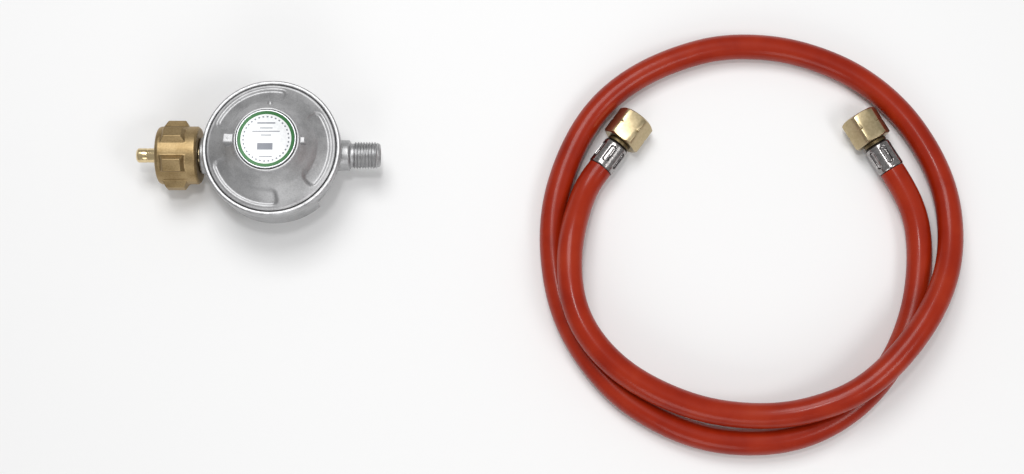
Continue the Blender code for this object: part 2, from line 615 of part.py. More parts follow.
def diaphragm_stack(rubber, steel, brass, plastic):
    """The sagging diaphragm between its plates, the stem, both springs, their clip and the adjuster."""
    edge_z = LEDGE_Z + GAP
    middle_z = edge_z - DIAPHRAGM_SAG
    hole_r = STEM_R + 0.4
    edge_r = RIM_R - WALL_THICK - 2 * GAP
    sheet = [
        (hole_r, middle_z), (SPRING_PLATE_R + 1, middle_z), (SPRING_PLATE_R + 3.5, edge_z - 0.5),
        (CHAMBER_R - 2.5, edge_z), (edge_r, edge_z),
    ]
    outline = sheet + [(r, z + DIAPHRAGM_THICK) for r, z in reversed(sheet)]
    turned("diaphragm", outline, rubber, sides=MEDIUM_SIDES)
    plate_top = middle_z - GAP
    plate_low = plate_top - PLATE_THICK
    lower = [(hole_r, plate_low), (LOWER_PLATE_R, plate_low), (LOWER_PLATE_R, plate_top), (hole_r, plate_top)]
    turned("lower_plate", lower, steel, sides=MEDIUM_SIDES)
    seat_low = middle_z + DIAPHRAGM_THICK + GAP
    seat_top = seat_low + PLATE_THICK
    seat = [
        (hole_r, seat_low), (SPRING_PLATE_R, seat_low), (SPRING_PLATE_R, seat_top + 1.2),
        (SPRING_PLATE_R - 0.8, seat_top + 1.2), (SPRING_PLATE_R - 0.8, seat_top), (hole_r, seat_top),
    ]
    turned("spring_plate", seat, steel, sides=MEDIUM_SIDES)
    collar_top = plate_low - GAP
    stem_outline = [
        (0, STEM_BOTTOM_Z), (STEM_HEAD_R, STEM_BOTTOM_Z), (STEM_HEAD_R, LEVER_Z + 4), (STEM_R, LEVER_Z + 5),
        (STEM_R, collar_top - 0.9), (STEM_COLLAR_R, collar_top - 0.9), (STEM_COLLAR_R, collar_top),
        (STEM_R, collar_top), (STEM_R, STEM_TOP_Z), (0, STEM_TOP_Z),
    ]
    stem = turned("diaphragm_stem", stem_outline, brass, sides=SMALL_SIDES)
    tall = LEVER_THICK / 2 + LEVER_PLAY
    across = LEVER_WIDTH / 2 + LEVER_SIDE_GAP
    combine(stem, box("stem_slot", (-5, -across, LEVER_Z - tall), (5, across, LEVER_Z + tall)))
    clip_top = STEM_TOP_Z - 0.7
    clip_low = clip_top - CLIP_THICK
    clip = [(STEM_R + GAP, clip_low), (CLIP_R, clip_low), (CLIP_R, clip_top), (STEM_R + GAP, clip_top)]
    turned("relief_clip", clip, steel, sides=SMALL_SIDES)
    spring_low = seat_top + GAP
    relief_top = clip_low - GAP
    coil_spring("relief_spring", RELIEF_SPRING_R, RELIEF_WIRE_R, spring_low, relief_top, RELIEF_TURNS, steel)
    adjuster_top = COVER_TOP_Z - LABEL_SINK - ADJUSTER_DEPTH
    adjuster_low = adjuster_top - ADJUSTER_THICK
    main_top = adjuster_low - GAP
    coil_spring("main_spring", SPRING_R, SPRING_WIRE_R, spring_low, main_top, SPRING_TURNS, steel)
    outer_r = NECK_BORE_R - GAP
    disc = [(0, adjuster_low), (outer_r, adjuster_low), (outer_r, adjuster_top), (0, adjuster_top)]
    ring = turned("adjuster_ring", disc, plastic, sides=MEDIUM_SIDES)
    hexagon = polygon(6, ADJUSTER_SOCKET_FLATS)
    combine(ring, prism("adjuster_socket", hexagon, adjuster_low - OVER, adjuster_top + OVER))


def label_plate(finish):
    """The round plate that closes the bell's top."""
    low = COVER_TOP_Z - LABEL_SINK + GAP
    high = low + LABEL_THICK
    outline = [(0, low), (LABEL_R, low), (LABEL_R, high - 0.3), (LABEL_R - 0.3, high), (0, high)]
    turned("label_plate", outline, finish, sides=BIG_SIDES)


def hose(finish):
    """The hose as a tube along its route."""
    curve = bpy.data.curves.new("hose", "CURVE")
    curve.dimensions = "3D"
    curve.bevel_depth = HOSE_D / 2 * MM
    curve.bevel_resolution = HOSE_SIDES_RESOLUTION
    curve.use_fill_caps = True
    route = smooth_line(ROUTE, HOSE_STEP, HOSE_STRAIGHT)
    line = curve.splines.new("POLY")
    line.points.add(len(route) - 1)
    for point, place in zip(line.points, route):
        point.co = (*(place * MM), 1)
    curve.materials.append(finish)
    made = bpy.data.objects.new("hose", curve)
    bpy.context.scene.collection.objects.link(made)


def hose_end(letter, end, inner, brass, silver, polished):
    """Ferrule, tail and swivel nut at one end of the hose, pointing away from it."""
    away = (Vector(end) - Vector(inner)).to_2d().normalized()
    turn = np.arctan2(away.y, away.x)
    ferrule_end = GAP + FERRULE_LENGTH
    wall_start = ferrule_end + GAP + TAIL_COLLAR_THICK + GAP
    wall_end = wall_start + HEX_WALL
    nut_end = wall_start + HEX_LENGTH
    nose = wall_end + GAP
    sleeve_r = TAIL_R + GAP
    sleeve = [
        (sleeve_r, GAP), (FERRULE_R - 0.2, GAP), (FERRULE_R + 0.1, GAP + 0.6),
        (FERRULE_R - 0.1, ferrule_end - 1.0), (FERRULE_R - 0.8, ferrule_end), (sleeve_r, ferrule_end),
    ]
    collar = ferrule_end + GAP
    neck = HEX_BORE_R - 1.7
    insert = [
        (TAIL_BORE_R, GAP), (TAIL_R, GAP), (TAIL_R, collar), (TAIL_COLLAR_R, collar),
        (TAIL_COLLAR_R, collar + TAIL_COLLAR_THICK), (neck, collar + TAIL_COLLAR_THICK), (neck, nose),
        (TAIL_NOSE_R, nose), (TAIL_NOSE_R, nose + 1.5), (TAIL_R - 0.6, nose + TAIL_NOSE_LENGTH),
        (TAIL_BORE_R, nose + TAIL_NOSE_LENGTH),
    ]
    middle = (wall_start + nut_end) / 2
    corner_r = HEX_FLATS / 2 / cos(pi / 6) - 0.12
    notch_r = corner_r - HEX_NOTCH_DEPTH
    chamfer = HEX_CHAMFER
    blank = [
        (neck + GAP, wall_start), (corner_r - chamfer, wall_start), (corner_r, wall_start + chamfer * 0.65),
        (corner_r, middle - HEX_NOTCH_DEPTH), (notch_r, middle), (corner_r, middle + HEX_NOTCH_DEPTH),
        (corner_r, nut_end - chamfer * 0.65), (corner_r - chamfer, nut_end),
        (HEX_BORE_R + 0.4, nut_end), (HEX_BORE_R, nut_end - 0.4), (HEX_BORE_R, wall_end),
        (neck + GAP, wall_end),
    ]
    pieces = [
        turned(f"ferrule_{letter}", sleeve, silver, sides=MEDIUM_SIDES),
        turned(f"tail_{letter}", insert, polished, sides=SMALL_SIDES),
        turned(f"hose_nut_{letter}", blank, brass, sides=MEDIUM_SIDES),
    ]
    hexagon = prism(f"hexagon_{letter}", polygon(6, HEX_FLATS, 30.0), wall_start - OVER, nut_end + OVER)
    for piece in (*pieces, hexagon):
        piece.location = Vector(end) * MM
        piece.rotation_euler = (0, pi / 2, turn)
    combine(pieces[2], hexagon, "INTERSECT")


def main():
    """Clears the scene and builds the regulator and its hose."""
    for old in list(bpy.data.objects):
        bpy.data.objects.remove(old, do_unlink=True)
    zinc = material("cast_zinc", (0.22, 0.22, 0.23), 0.5, 0.7)
    brass = material("nut_brass", (0.30, 0.20, 0.09), 0.5, 0.85)
    polished = material("polished_brass", (0.72, 0.55, 0.30), 0.2, 1.0)
    hex_brass = material("pale_brass", (0.55, 0.46, 0.26), 0.35, 0.9)
    silver = material("plated_steel", (0.55, 0.55, 0.55), 0.3, 1.0)
    spring_steel = material("spring_steel", (0.40, 0.40, 0.42), 0.35, 1.0)
    black = material("black_rubber", (0.02, 0.02, 0.02), 0.7, 0.0)
    nylon = material("white_nylon", (0.75, 0.75, 0.70), 0.5, 0.0)
    label = material("label_plate", (0.60, 0.62, 0.62), 0.35, 0.3)
    red = material("red_braid", (0.42, 0.04, 0.02), 0.5, 0.0)
    lower_housing(zinc)
    cover(zinc)
    label_plate(label)
    inlet_nut(brass)
    inlet_line(brass, polished, black, spring_steel)
    valve_and_lever(brass, black, spring_steel)
    diaphragm_stack(black, spring_steel, brass, nylon)
    hose(red)
    hose_end("a", ROUTE[0], ROUTE[1], hex_brass, silver, polished)
    hose_end("b", ROUTE[-1], ROUTE[-2], hex_brass, silver, polished)


main()
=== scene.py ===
"""The looks of a propane regulator and its separate hose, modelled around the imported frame.

+X runs from inlet to outlet, +Z up, lengths in metres unless a name ends in _MM.
"""

from __future__ import annotations

import json
import logging
import math
from collections.abc import Callable, Iterable, Sequence
from dataclasses import dataclass, field
from enum import Enum

import bpy
import numpy as np
from mathutils import Matrix, Vector

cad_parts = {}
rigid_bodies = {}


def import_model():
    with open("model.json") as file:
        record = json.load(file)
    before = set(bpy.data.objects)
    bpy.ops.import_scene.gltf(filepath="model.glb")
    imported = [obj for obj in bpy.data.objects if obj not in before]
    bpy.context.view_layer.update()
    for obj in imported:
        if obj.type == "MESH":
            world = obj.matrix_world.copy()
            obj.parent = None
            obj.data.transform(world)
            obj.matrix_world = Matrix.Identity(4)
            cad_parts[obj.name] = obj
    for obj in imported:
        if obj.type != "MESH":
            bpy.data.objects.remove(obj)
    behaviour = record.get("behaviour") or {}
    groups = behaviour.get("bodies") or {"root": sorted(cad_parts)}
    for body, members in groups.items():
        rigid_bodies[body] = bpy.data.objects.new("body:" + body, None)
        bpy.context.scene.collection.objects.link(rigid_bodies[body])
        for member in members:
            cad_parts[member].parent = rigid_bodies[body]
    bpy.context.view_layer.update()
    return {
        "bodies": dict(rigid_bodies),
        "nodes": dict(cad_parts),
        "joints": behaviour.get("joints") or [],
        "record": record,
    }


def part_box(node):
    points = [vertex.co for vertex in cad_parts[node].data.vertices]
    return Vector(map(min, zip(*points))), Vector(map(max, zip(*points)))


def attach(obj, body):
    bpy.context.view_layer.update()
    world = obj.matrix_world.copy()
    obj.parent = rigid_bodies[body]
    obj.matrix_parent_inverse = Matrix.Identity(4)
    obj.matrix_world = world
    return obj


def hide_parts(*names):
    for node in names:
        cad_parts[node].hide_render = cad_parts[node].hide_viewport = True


LOG = logging.getLogger("regulator")
MM = 0.001
Point = tuple[float, float, float]
Profile = Sequence[tuple[float, float]]

AXIS_Z = 17.0 * MM
HOSE_D = 12.3 * MM

# The hose's centreline from fitting a to fitting b, in mm
ROUTE_MM: tuple[Point, ...] = (
    (157.5, -4.3, 8.6),
    (155.12, -7.51, 8.6),
    (152.85, -10.8, 8.65),
    (148.8, -19.3, 10.2),
    (145.2, -31.0, 14.1),
    (142.6, -44.0, 17.1),
    (142.0, -57.5, 18.4),
    (143.8, -71.5, 18.6),
    (148.6, -84.0, 18.5),
    (156.3, -95.0, 18.1),
    (166.1, -104.3, 17.2),
    (177.7, -111.8, 16.1),
    (190.6, -117.8, 15.0),
    (204.5, -122.3, 14.0),
    (219.5, -124.9, 13.4),
    (234.5, -125.6, 13.7),
    (249.0, -124.3, 15.1),
    (262.5, -120.9, 17.1),
    (275.0, -115.8, 18.8),
    (286.0, -108.5, 19.6),
    (295.5, -99.8, 19.8),
    (304.1, -90.0, 19.6),
    (311.6, -79.6, 18.8),
    (317.9, -68.6, 17.1),
    (322.8, -56.8, 14.7),
    (325.9, -44.4, 11.8),
    (327.1, -31.3, 9.1),
    (326.2, -17.9, 7.1),
    (322.3, -3.5, 6.2),
    (315.8, 10.0, 6.2),
    (307.0, 23.1, 6.2),
    (295.5, 34.9, 6.2),
    (281.7, 44.7, 6.2),
    (266.2, 51.8, 6.2),
    (250.0, 56.4, 6.2),
    (232.9, 58.2, 6.2),
    (215.8, 57.2, 6.2),
    (199.0, 52.8, 6.2),
    (182.9, 46.0, 6.2),
    (168.3, 36.7, 6.2),
    (155.7, 24.4, 6.2),
    (146.2, 9.4, 6.2),
    (139.2, -7.5, 6.2),
    (135.1, -24.5, 6.2),
    (134.1, -41.6, 6.2),
    (135.6, -58.4, 6.2),
    (139.6, -74.9, 6.2),
    (146.5, -89.9, 6.2),
    (156.0, -103.6, 6.2),
    (167.3, -115.3, 6.2),
    (180.9, -124.7, 6.2),
    (195.6, -131.8, 6.2),
    (211.2, -136.2, 6.2),
    (227.5, -137.6, 6.2),
    (243.9, -136.2, 6.2),
    (259.7, -131.4, 6.2),
    (273.8, -123.5, 6.2),
    (286.0, -113.0, 6.2),
    (296.0, -100.4, 6.2),
    (303.3, -86.8, 6.2),
    (308.4, -72.4, 6.2),
    (311.4, -57.4, 6.2),
    (312.3, -42.8, 6.4),
    (310.9, -29.3, 7.2),
    (307.1, -18.2, 8.2),
    (304.15, -12.3, 8.55),
    (302.19, -8.67, 8.6),
    (300.2, -5.2, 8.6),
)


class Blend(Enum):
    """How two solids are joined."""

    UNION = "UNION"
    CUT = "DIFFERENCE"
    COMMON = "INTERSECT"


# Shader maths ---------------------------------------------------------------------------------------


class Value:
    """A shader socket that takes part in Python arithmetic."""

    def __init__(self, tree: bpy.types.NodeTree, socket: bpy.types.NodeSocket) -> None:
        """Wraps one output socket of a node tree."""
        self.tree = tree
        self.socket = socket

    def _math(self, operation: str, *terms: Value | float) -> Value:
        """Adds a Math node over the given terms.

        Args:
            operation: The Math node's operation.
            terms: Values or plain numbers, in the order of the node's sockets.

        Returns:
            The node's result.
        """
        node = self.tree.nodes.new("ShaderNodeMath")
        node.operation = operation
        for socket, term in zip(node.inputs, terms):
            if isinstance(term, Value):
                self.tree.links.new(term.socket, socket)
            else:
                socket.default_value = term
        return Value(self.tree, node.outputs[0])

    def __add__(self, other: Value | float) -> Value:
        """self + other."""
        return self._math("ADD", self, other)

    def __sub__(self, other: Value | float) -> Value:
        """self - other."""
        return self._math("SUBTRACT", self, other)

    def __mul__(self, other: Value | float) -> Value:
        """self * other."""
        return self._math("MULTIPLY", self, other)

    def __rsub__(self, other: float) -> Value:
        """other - self."""
        return self._math("SUBTRACT", other, self)

    __radd__ = __add__

    def __lt__(self, other: Value | float) -> Value:
        """1 where self is less than other."""
        return self._math("LESS_THAN", self, other)

    def __gt__(self, other: Value | float) -> Value:
        """1 where self is greater than other."""
        return self._math("GREATER_THAN", self, other)

    def __abs__(self) -> Value:
        """The absolute value."""
        return self._math("ABSOLUTE", self)

    def power(self, exponent: float) -> Value:
        """self raised to a power."""
        return self._math("POWER", self, exponent)

    def sine(self) -> Value:
        """The sine, in radians."""
        return self._math("SINE", self)

    def angle_from(self, other: Value) -> Value:
        """The angle whose tangent is self over other."""
        return self._math("ARCTAN2", self, other)

    def clamped(self) -> Value:
        """The value held between 0 and 1."""
        return self._math("MINIMUM", self._math("MAXIMUM", self, 0.0), 1.0)


class Shader:
    """One material's nodes, built around a Principled shader."""

    def __init__(self, name: str) -> None:
        """Starts a material with a single Principled shader."""
        self.material = bpy.data.materials.new(name)
        self.material.use_nodes = True
        self.tree = self.material.node_tree
        self.principled = self.tree.nodes["Principled BSDF"]
        self.coordinates = self.tree.nodes.new("ShaderNodeTexCoord")

    def node(
        self, kind: str, settings: dict | None = None, output: int | str = 0, **sockets: object
    ) -> Value:
        """Adds a node.

        Args:
            kind: The node's type, without the ShaderNode in front.
            settings: Attributes that are set before the sockets; a ramp's stops are under "stops".
            output: The output socket to return, by its number or name.
            sockets: Numbers, colours or values for the sockets, with _ in place of a space; s0 is socket 0.

        Returns:
            The chosen output.
        """
        made = self.tree.nodes.new(f"ShaderNode{kind}")
        for name, setting in (settings or {}).items():
            if name == "stops":
                self._set_stops(made.color_ramp, setting)
            else:
                setattr(made, name, setting)
        for name, given in sockets.items():
            by_number = name[0] == "s" and name[1:].isdigit()
            socket = made.inputs[int(name[1:]) if by_number else name.replace("_", " ")]
            if isinstance(given, Value):
                self.tree.links.new(given.socket, socket)
            else:
                socket.default_value = given
        return Value(self.tree, made.outputs[output])

    @staticmethod
    def _set_stops(ramp: bpy.types.ColorRamp, stops: Sequence[tuple[float, Sequence[float]]]) -> None:
        """Gives a colour ramp its stops, each a place and a colour."""
        while len(ramp.elements) < len(stops):
            ramp.elements.new(0.5)
        for element, (place, colour) in zip(ramp.elements, stops):
            element.position = place
            element.color = (*colour, 1.0)

    def places(self, kind: str = "Object") -> Value:
        """Texture coordinates of one kind."""
        return Value(self.tree, self.coordinates.outputs[kind])

    def placed(self, centre: Point = (0, 0, 0), turn: Point = (0, 0, 0), scale: Point = (1, 1, 1)) -> Value:
        """Object coordinates about a centre, turned and scaled."""
        moved = self.node("VectorMath", {"operation": "SUBTRACT"}, s0=self.places(), s1=centre)
        return self.node("Mapping", Vector=moved, Rotation=turn, Scale=scale)

    def noise(
        self, scale: float, detail: float = 4.0, roughness: float = 0.55, at: Value | None = None
    ) -> Value:
        """Noise between 0 and 1 over the surface."""
        return self.node(
            "TexNoise", Vector=at or self.places(), Scale=scale, Detail=detail, Roughness=roughness
        )

    def cells(self, scale: float) -> Value:
        """Distance to the nearest of many scattered points."""
        return self.node("TexVoronoi", output="Distance", Vector=self.places(), Scale=scale)

    def axes(self, at: Value) -> tuple[Value, Value, Value]:
        """The x, y and z of a vector."""
        split = self.tree.nodes.new("ShaderNodeSeparateXYZ")
        self.tree.links.new(at.socket, split.inputs[0])
        return tuple(Value(self.tree, output) for output in split.outputs)

    def mix(self, factor: Value, first: Sequence[float] | Value, second: Sequence[float] | Value) -> Value:
        """A colour between two, by a factor."""
        made = self.tree.nodes.new("ShaderNodeMix")
        made.data_type = "RGBA"
        self.tree.links.new(factor.socket, made.inputs[0])
        for number, colour in ((6, first), (7, second)):
            if isinstance(colour, Value):
                self.tree.links.new(colour.socket, made.inputs[number])
            else:
                made.inputs[number].default_value = (*colour, 1.0)
        return Value(self.tree, made.outputs[2])

    def ramp(self, factor: Value, *stops: tuple[float, Sequence[float]]) -> Value:
        """A colour read from stops."""
        return self.node("ValToRGB", {"stops": stops}, Fac=factor)

    def bump(self, height: Value, distance: float, strength: float) -> Value:
        """A normal from a height, in metres at full strength."""
        return self.node("Bump", Height=height, Distance=distance, Strength=strength)

    def finish(self, **sockets: object) -> bpy.types.Material:
        """Sets the Principled shader's sockets and returns the material."""
        for name, given in sockets.items():
            socket = self.principled.inputs[name.replace("_", " ")]
            if isinstance(given, Value):
                self.tree.links.new(given.socket, socket)
            elif isinstance(given, tuple):
                socket.default_value = (*given, 1.0)
            else:
                socket.default_value = given
        return self.material


# Finishes -------------------------------------------------------------------------------------------


@dataclass(frozen=True)
class CastMetal:
    """A cast or tumbled metal with a fine grain, darker in its pores."""

    name: str
    colour: tuple[float, float, float]
    dark: tuple[float, float, float]
    roughness: float
    grain: float = 1500.0
    depth: float = 0.00006
    metallic: float = 1.0

    def build(self) -> bpy.types.Material:
        """Makes the material."""
        shade = Shader(self.name)
        grain = shade.noise(self.grain, 3.0, 0.6)
        blotch = shade.noise(self.grain / 14, 4.0, 0.6)
        pits = shade.cells(self.grain * 0.8)
        tone = (grain * 0.55 + blotch * 0.7 - 0.12).clamped()
        colour = shade.ramp(tone, (0.25, self.dark), (0.62, self.colour))
        rough = (self.roughness - 0.09 + blotch * 0.12 + grain * 0.1).clamped()
        relief = grain * 0.7 + pits * 0.5
        return shade.finish(
            Base_Color=colour,
            Roughness=rough,
            Metallic=self.metallic,
            Normal=shade.bump(relief, self.depth, 0.7),
        )


@dataclass(frozen=True)
class TurnedMetal:
    """A lathe-turned metal with fine rings about an axis and slight handling marks."""

    name: str
    colour: tuple[float, float, float]
    dark: tuple[float, float, float]
    roughness: float
    centre: Point = (0.0, 0.0, 0.0)
    turn: Point = (0.0, 0.0, 0.0)
    pitch: float = 0.00025

    def build(self) -> bpy.types.Material:
        """Makes the material."""
        shade = Shader(self.name)
        at = shade.placed(self.centre, self.turn)
        stretched = shade.placed(self.centre, self.turn, (60.0, 60.0, 4000.0))
        along = shade.axes(at)[2]
        rings = (along * (2 * math.pi / self.pitch)).sine() * 0.5 + 0.5
        streaks = shade.noise(1.0, 2.0, 0.5, stretched)
        stain = shade.noise(220.0, 5.0, 0.65)
        colour = shade.ramp((stain * 0.8 + streaks * 0.3).clamped(), (0.3, self.dark), (0.68, self.colour))
        return shade.finish(
            Base_Color=colour,
            Roughness=(self.roughness + stain * 0.14 - 0.05 + streaks * 0.06).clamped(),
            Metallic=1.0,
            Normal=shade.bump(rings * 0.5 + streaks * 0.5, 0.000012, 0.6),
        )


@dataclass(frozen=True)
class PressedMetal:
    """A plated sleeve whose pressed slots' walls are painted near-black as painted shade."""

    name: str
    centre: Point
    axis: Point
    floor_r: float
    land_r: float
    colour: tuple[float, float, float] = (0.46, 0.445, 0.44)
    dull: tuple[float, float, float] = (0.25, 0.235, 0.23)
    # Near-black painted shade laid on the walls of the pressed slots.
    painted_slot_shade: tuple[float, float, float] = (0.035, 0.03, 0.032)
    roughness: float = 0.20

    def build(self) -> bpy.types.Material:
        """Makes the material."""
        shade = Shader(self.name)
        away = shade.node("VectorMath", {"operation": "SUBTRACT"}, s0=shade.places(), s1=self.centre)
        along = shade.node("VectorMath", {"operation": "DOT_PRODUCT"}, "Value", s0=away, s1=self.axis)
        reach = shade.node("VectorMath", {"operation": "DOT_PRODUCT"}, "Value", s0=away, s1=away)
        radius = (reach - along * along).power(0.5)
        # The radii between the slot floors and the lands are the slot walls, which get the painted shade.
        wall = (radius > self.floor_r) * (radius < self.land_r)
        stain = shade.noise(700.0, 4.0, 0.6)
        tone = shade.mix(((stain - 0.35) * 2.6).clamped(), self.dull, self.colour)
        return shade.finish(
            Base_Color=shade.mix(wall * 0.92, tone, self.painted_slot_shade),
            Roughness=(self.roughness + stain * 0.12 - 0.04 + wall * 0.3).clamped(),
            Metallic=1.0,
            Normal=shade.bump(shade.noise(1400.0, 2.0), 0.00002, 0.4),
        )


@dataclass(frozen=True)
class Moulded:
    """A moulded rubber or plastic with a faint texture."""

    name: str
    colour: tuple[float, float, float]
    roughness: float

    def build(self) -> bpy.types.Material:
        """Makes the material."""
        shade = Shader(self.name)
        cloud = shade.noise(400.0, 3.0)
        lighter = tuple(min(1.0, part * 1.5 + 0.01) for part in self.colour)
        return shade.finish(
            Base_Color=shade.mix(cloud, self.colour, lighter),
            Roughness=(self.roughness - 0.06 + cloud * 0.12).clamped(),
            Normal=shade.bump(shade.noise(2500.0, 2.0), 0.00002, 0.5),
        )


@dataclass(frozen=True)
class BraidedRubber:
    """Red rubber hose, satin smooth, with fine ribs across it from the fabric below."""

    name: str = "red_hose_rubber"
    length: float = 0.964
    rib_pitch: float = 0.00125
    dark: tuple[float, float, float] = (0.25, 0.012, 0.002)
    middle: tuple[float, float, float] = (0.305, 0.018, 0.003)
    light: tuple[float, float, float] = (0.35, 0.028, 0.006)

    def build(self) -> bpy.types.Material:
        """Makes the material."""
        shade = Shader(self.name)
        along, around, _ = shade.axes(shade.places("UV"))
        wobble = shade.noise(260.0, 3.0) * 1.6
        travel = along * (2 * math.pi * self.length / self.rib_pitch) + wobble
        ribs = (travel + around * (2 * math.pi * 2)).sine() * 0.5 + 0.5
        wear = shade.noise(45.0, 4.0, 0.55)
        grain = shade.noise(2600.0, 2.0)
        base = shade.ramp(wear, (0.3, self.dark), (0.5, self.middle), (0.75, self.light))
        return shade.finish(
            Base_Color=base,
            Roughness=(0.27 + wear * 0.10 + grain * 0.06).clamped(),
            Specular_IOR_Level=0.14,
            Coat_Weight=(0.14 + wear * 0.16).clamped(),
            Coat_Roughness=0.16,
            Normal=shade.bump(ribs * 0.6 + grain * 0.4, 0.00005, 0.5),
        )


@dataclass(frozen=True)
class PrintedFoil:
    """A round foil plate: bright rim, green band, pale line and a silver middle with plain bars.

    Each bar is its middle's x and y, then half its width and half its height.
    """

    radius: float
    name: str = "printed_foil"
    silver: tuple[float, float, float] = (0.86, 0.87, 0.88)
    dull_silver: tuple[float, float, float] = (0.50, 0.51, 0.52)
    ink: tuple[float, float, float] = (0.07, 0.08, 0.11)
    pale_line: tuple[float, float, float] = (0.75, 0.78, 0.76)
    green: tuple[float, float, float] = (0.003, 0.085, 0.010)
    light_green: tuple[float, float, float] = (0.006, 0.14, 0.018)
    rim_silver: tuple[float, float, float] = (0.62, 0.63, 0.65)
    dial_share: float = 0.76
    line_share: float = 0.825
    band_share: float = 0.845
    rim_share: float = 0.955
    dashes: float = 34.0
    bars: tuple[tuple[float, float, float, float], ...] = (
        (0.0, 0.0076, 0.0042, 0.00032),
        (0.0, 0.0052, 0.0030, 0.00022),
        (0.0, 0.0036, 0.0064, 0.00022),
        (0.0, 0.0018, 0.0024, 0.00022),
        (-0.0004, -0.0036, 0.0036, 0.0016),
        (0.0, -0.0084, 0.0030, 0.00022),
    )

    def build(self) -> bpy.types.Material:
        """Makes the material."""
        shade = Shader(self.name)
        x, y, _ = shade.axes(shade.places())
        distance = (x * x + y * y).power(0.5)
        sheen = shade.noise(900.0, 4.0)
        cloud = shade.noise(160.0, 3.0)
        mottle = (sheen * 0.7 + cloud * 0.4 - 0.05).clamped()
        silver = shade.mix(mottle, self.dull_silver, self.silver)
        ink: Value | None = None
        for centre_x, centre_y, half_width, half_height in self.bars:
            bar = (abs(x - centre_x) < half_width) * (abs(y - centre_y) < half_height)
            ink = bar if ink is None else ink + bar
        on_dial = abs(distance - self.radius * self.dial_share) < 0.00035
        dial = on_dial * (y.angle_from(x) * self.dashes).sine()
        marks = ((ink or dial) + (dial > 0.25)).clamped()
        printed = shade.mix(marks * 0.85, silver, self.ink)
        inside = distance < self.radius * self.band_share
        lined = shade.mix(distance > self.radius * self.line_share, printed, self.pale_line)
        green = shade.mix(sheen, self.green, self.light_green)
        banded = shade.mix(1.0 - inside, lined, green)
        rim = distance > self.radius * self.rim_share
        colour = shade.mix(rim, banded, self.rim_silver)
        return shade.finish(
            Base_Color=colour,
            Roughness=(0.30 + sheen * 0.15).clamped(),
            Metallic=(rim * 0.75 + 0.15).clamped(),
            Normal=shade.bump(sheen, 0.00002, 0.4),
        )


# Modelling ------------------------------------------------------------------------------------------


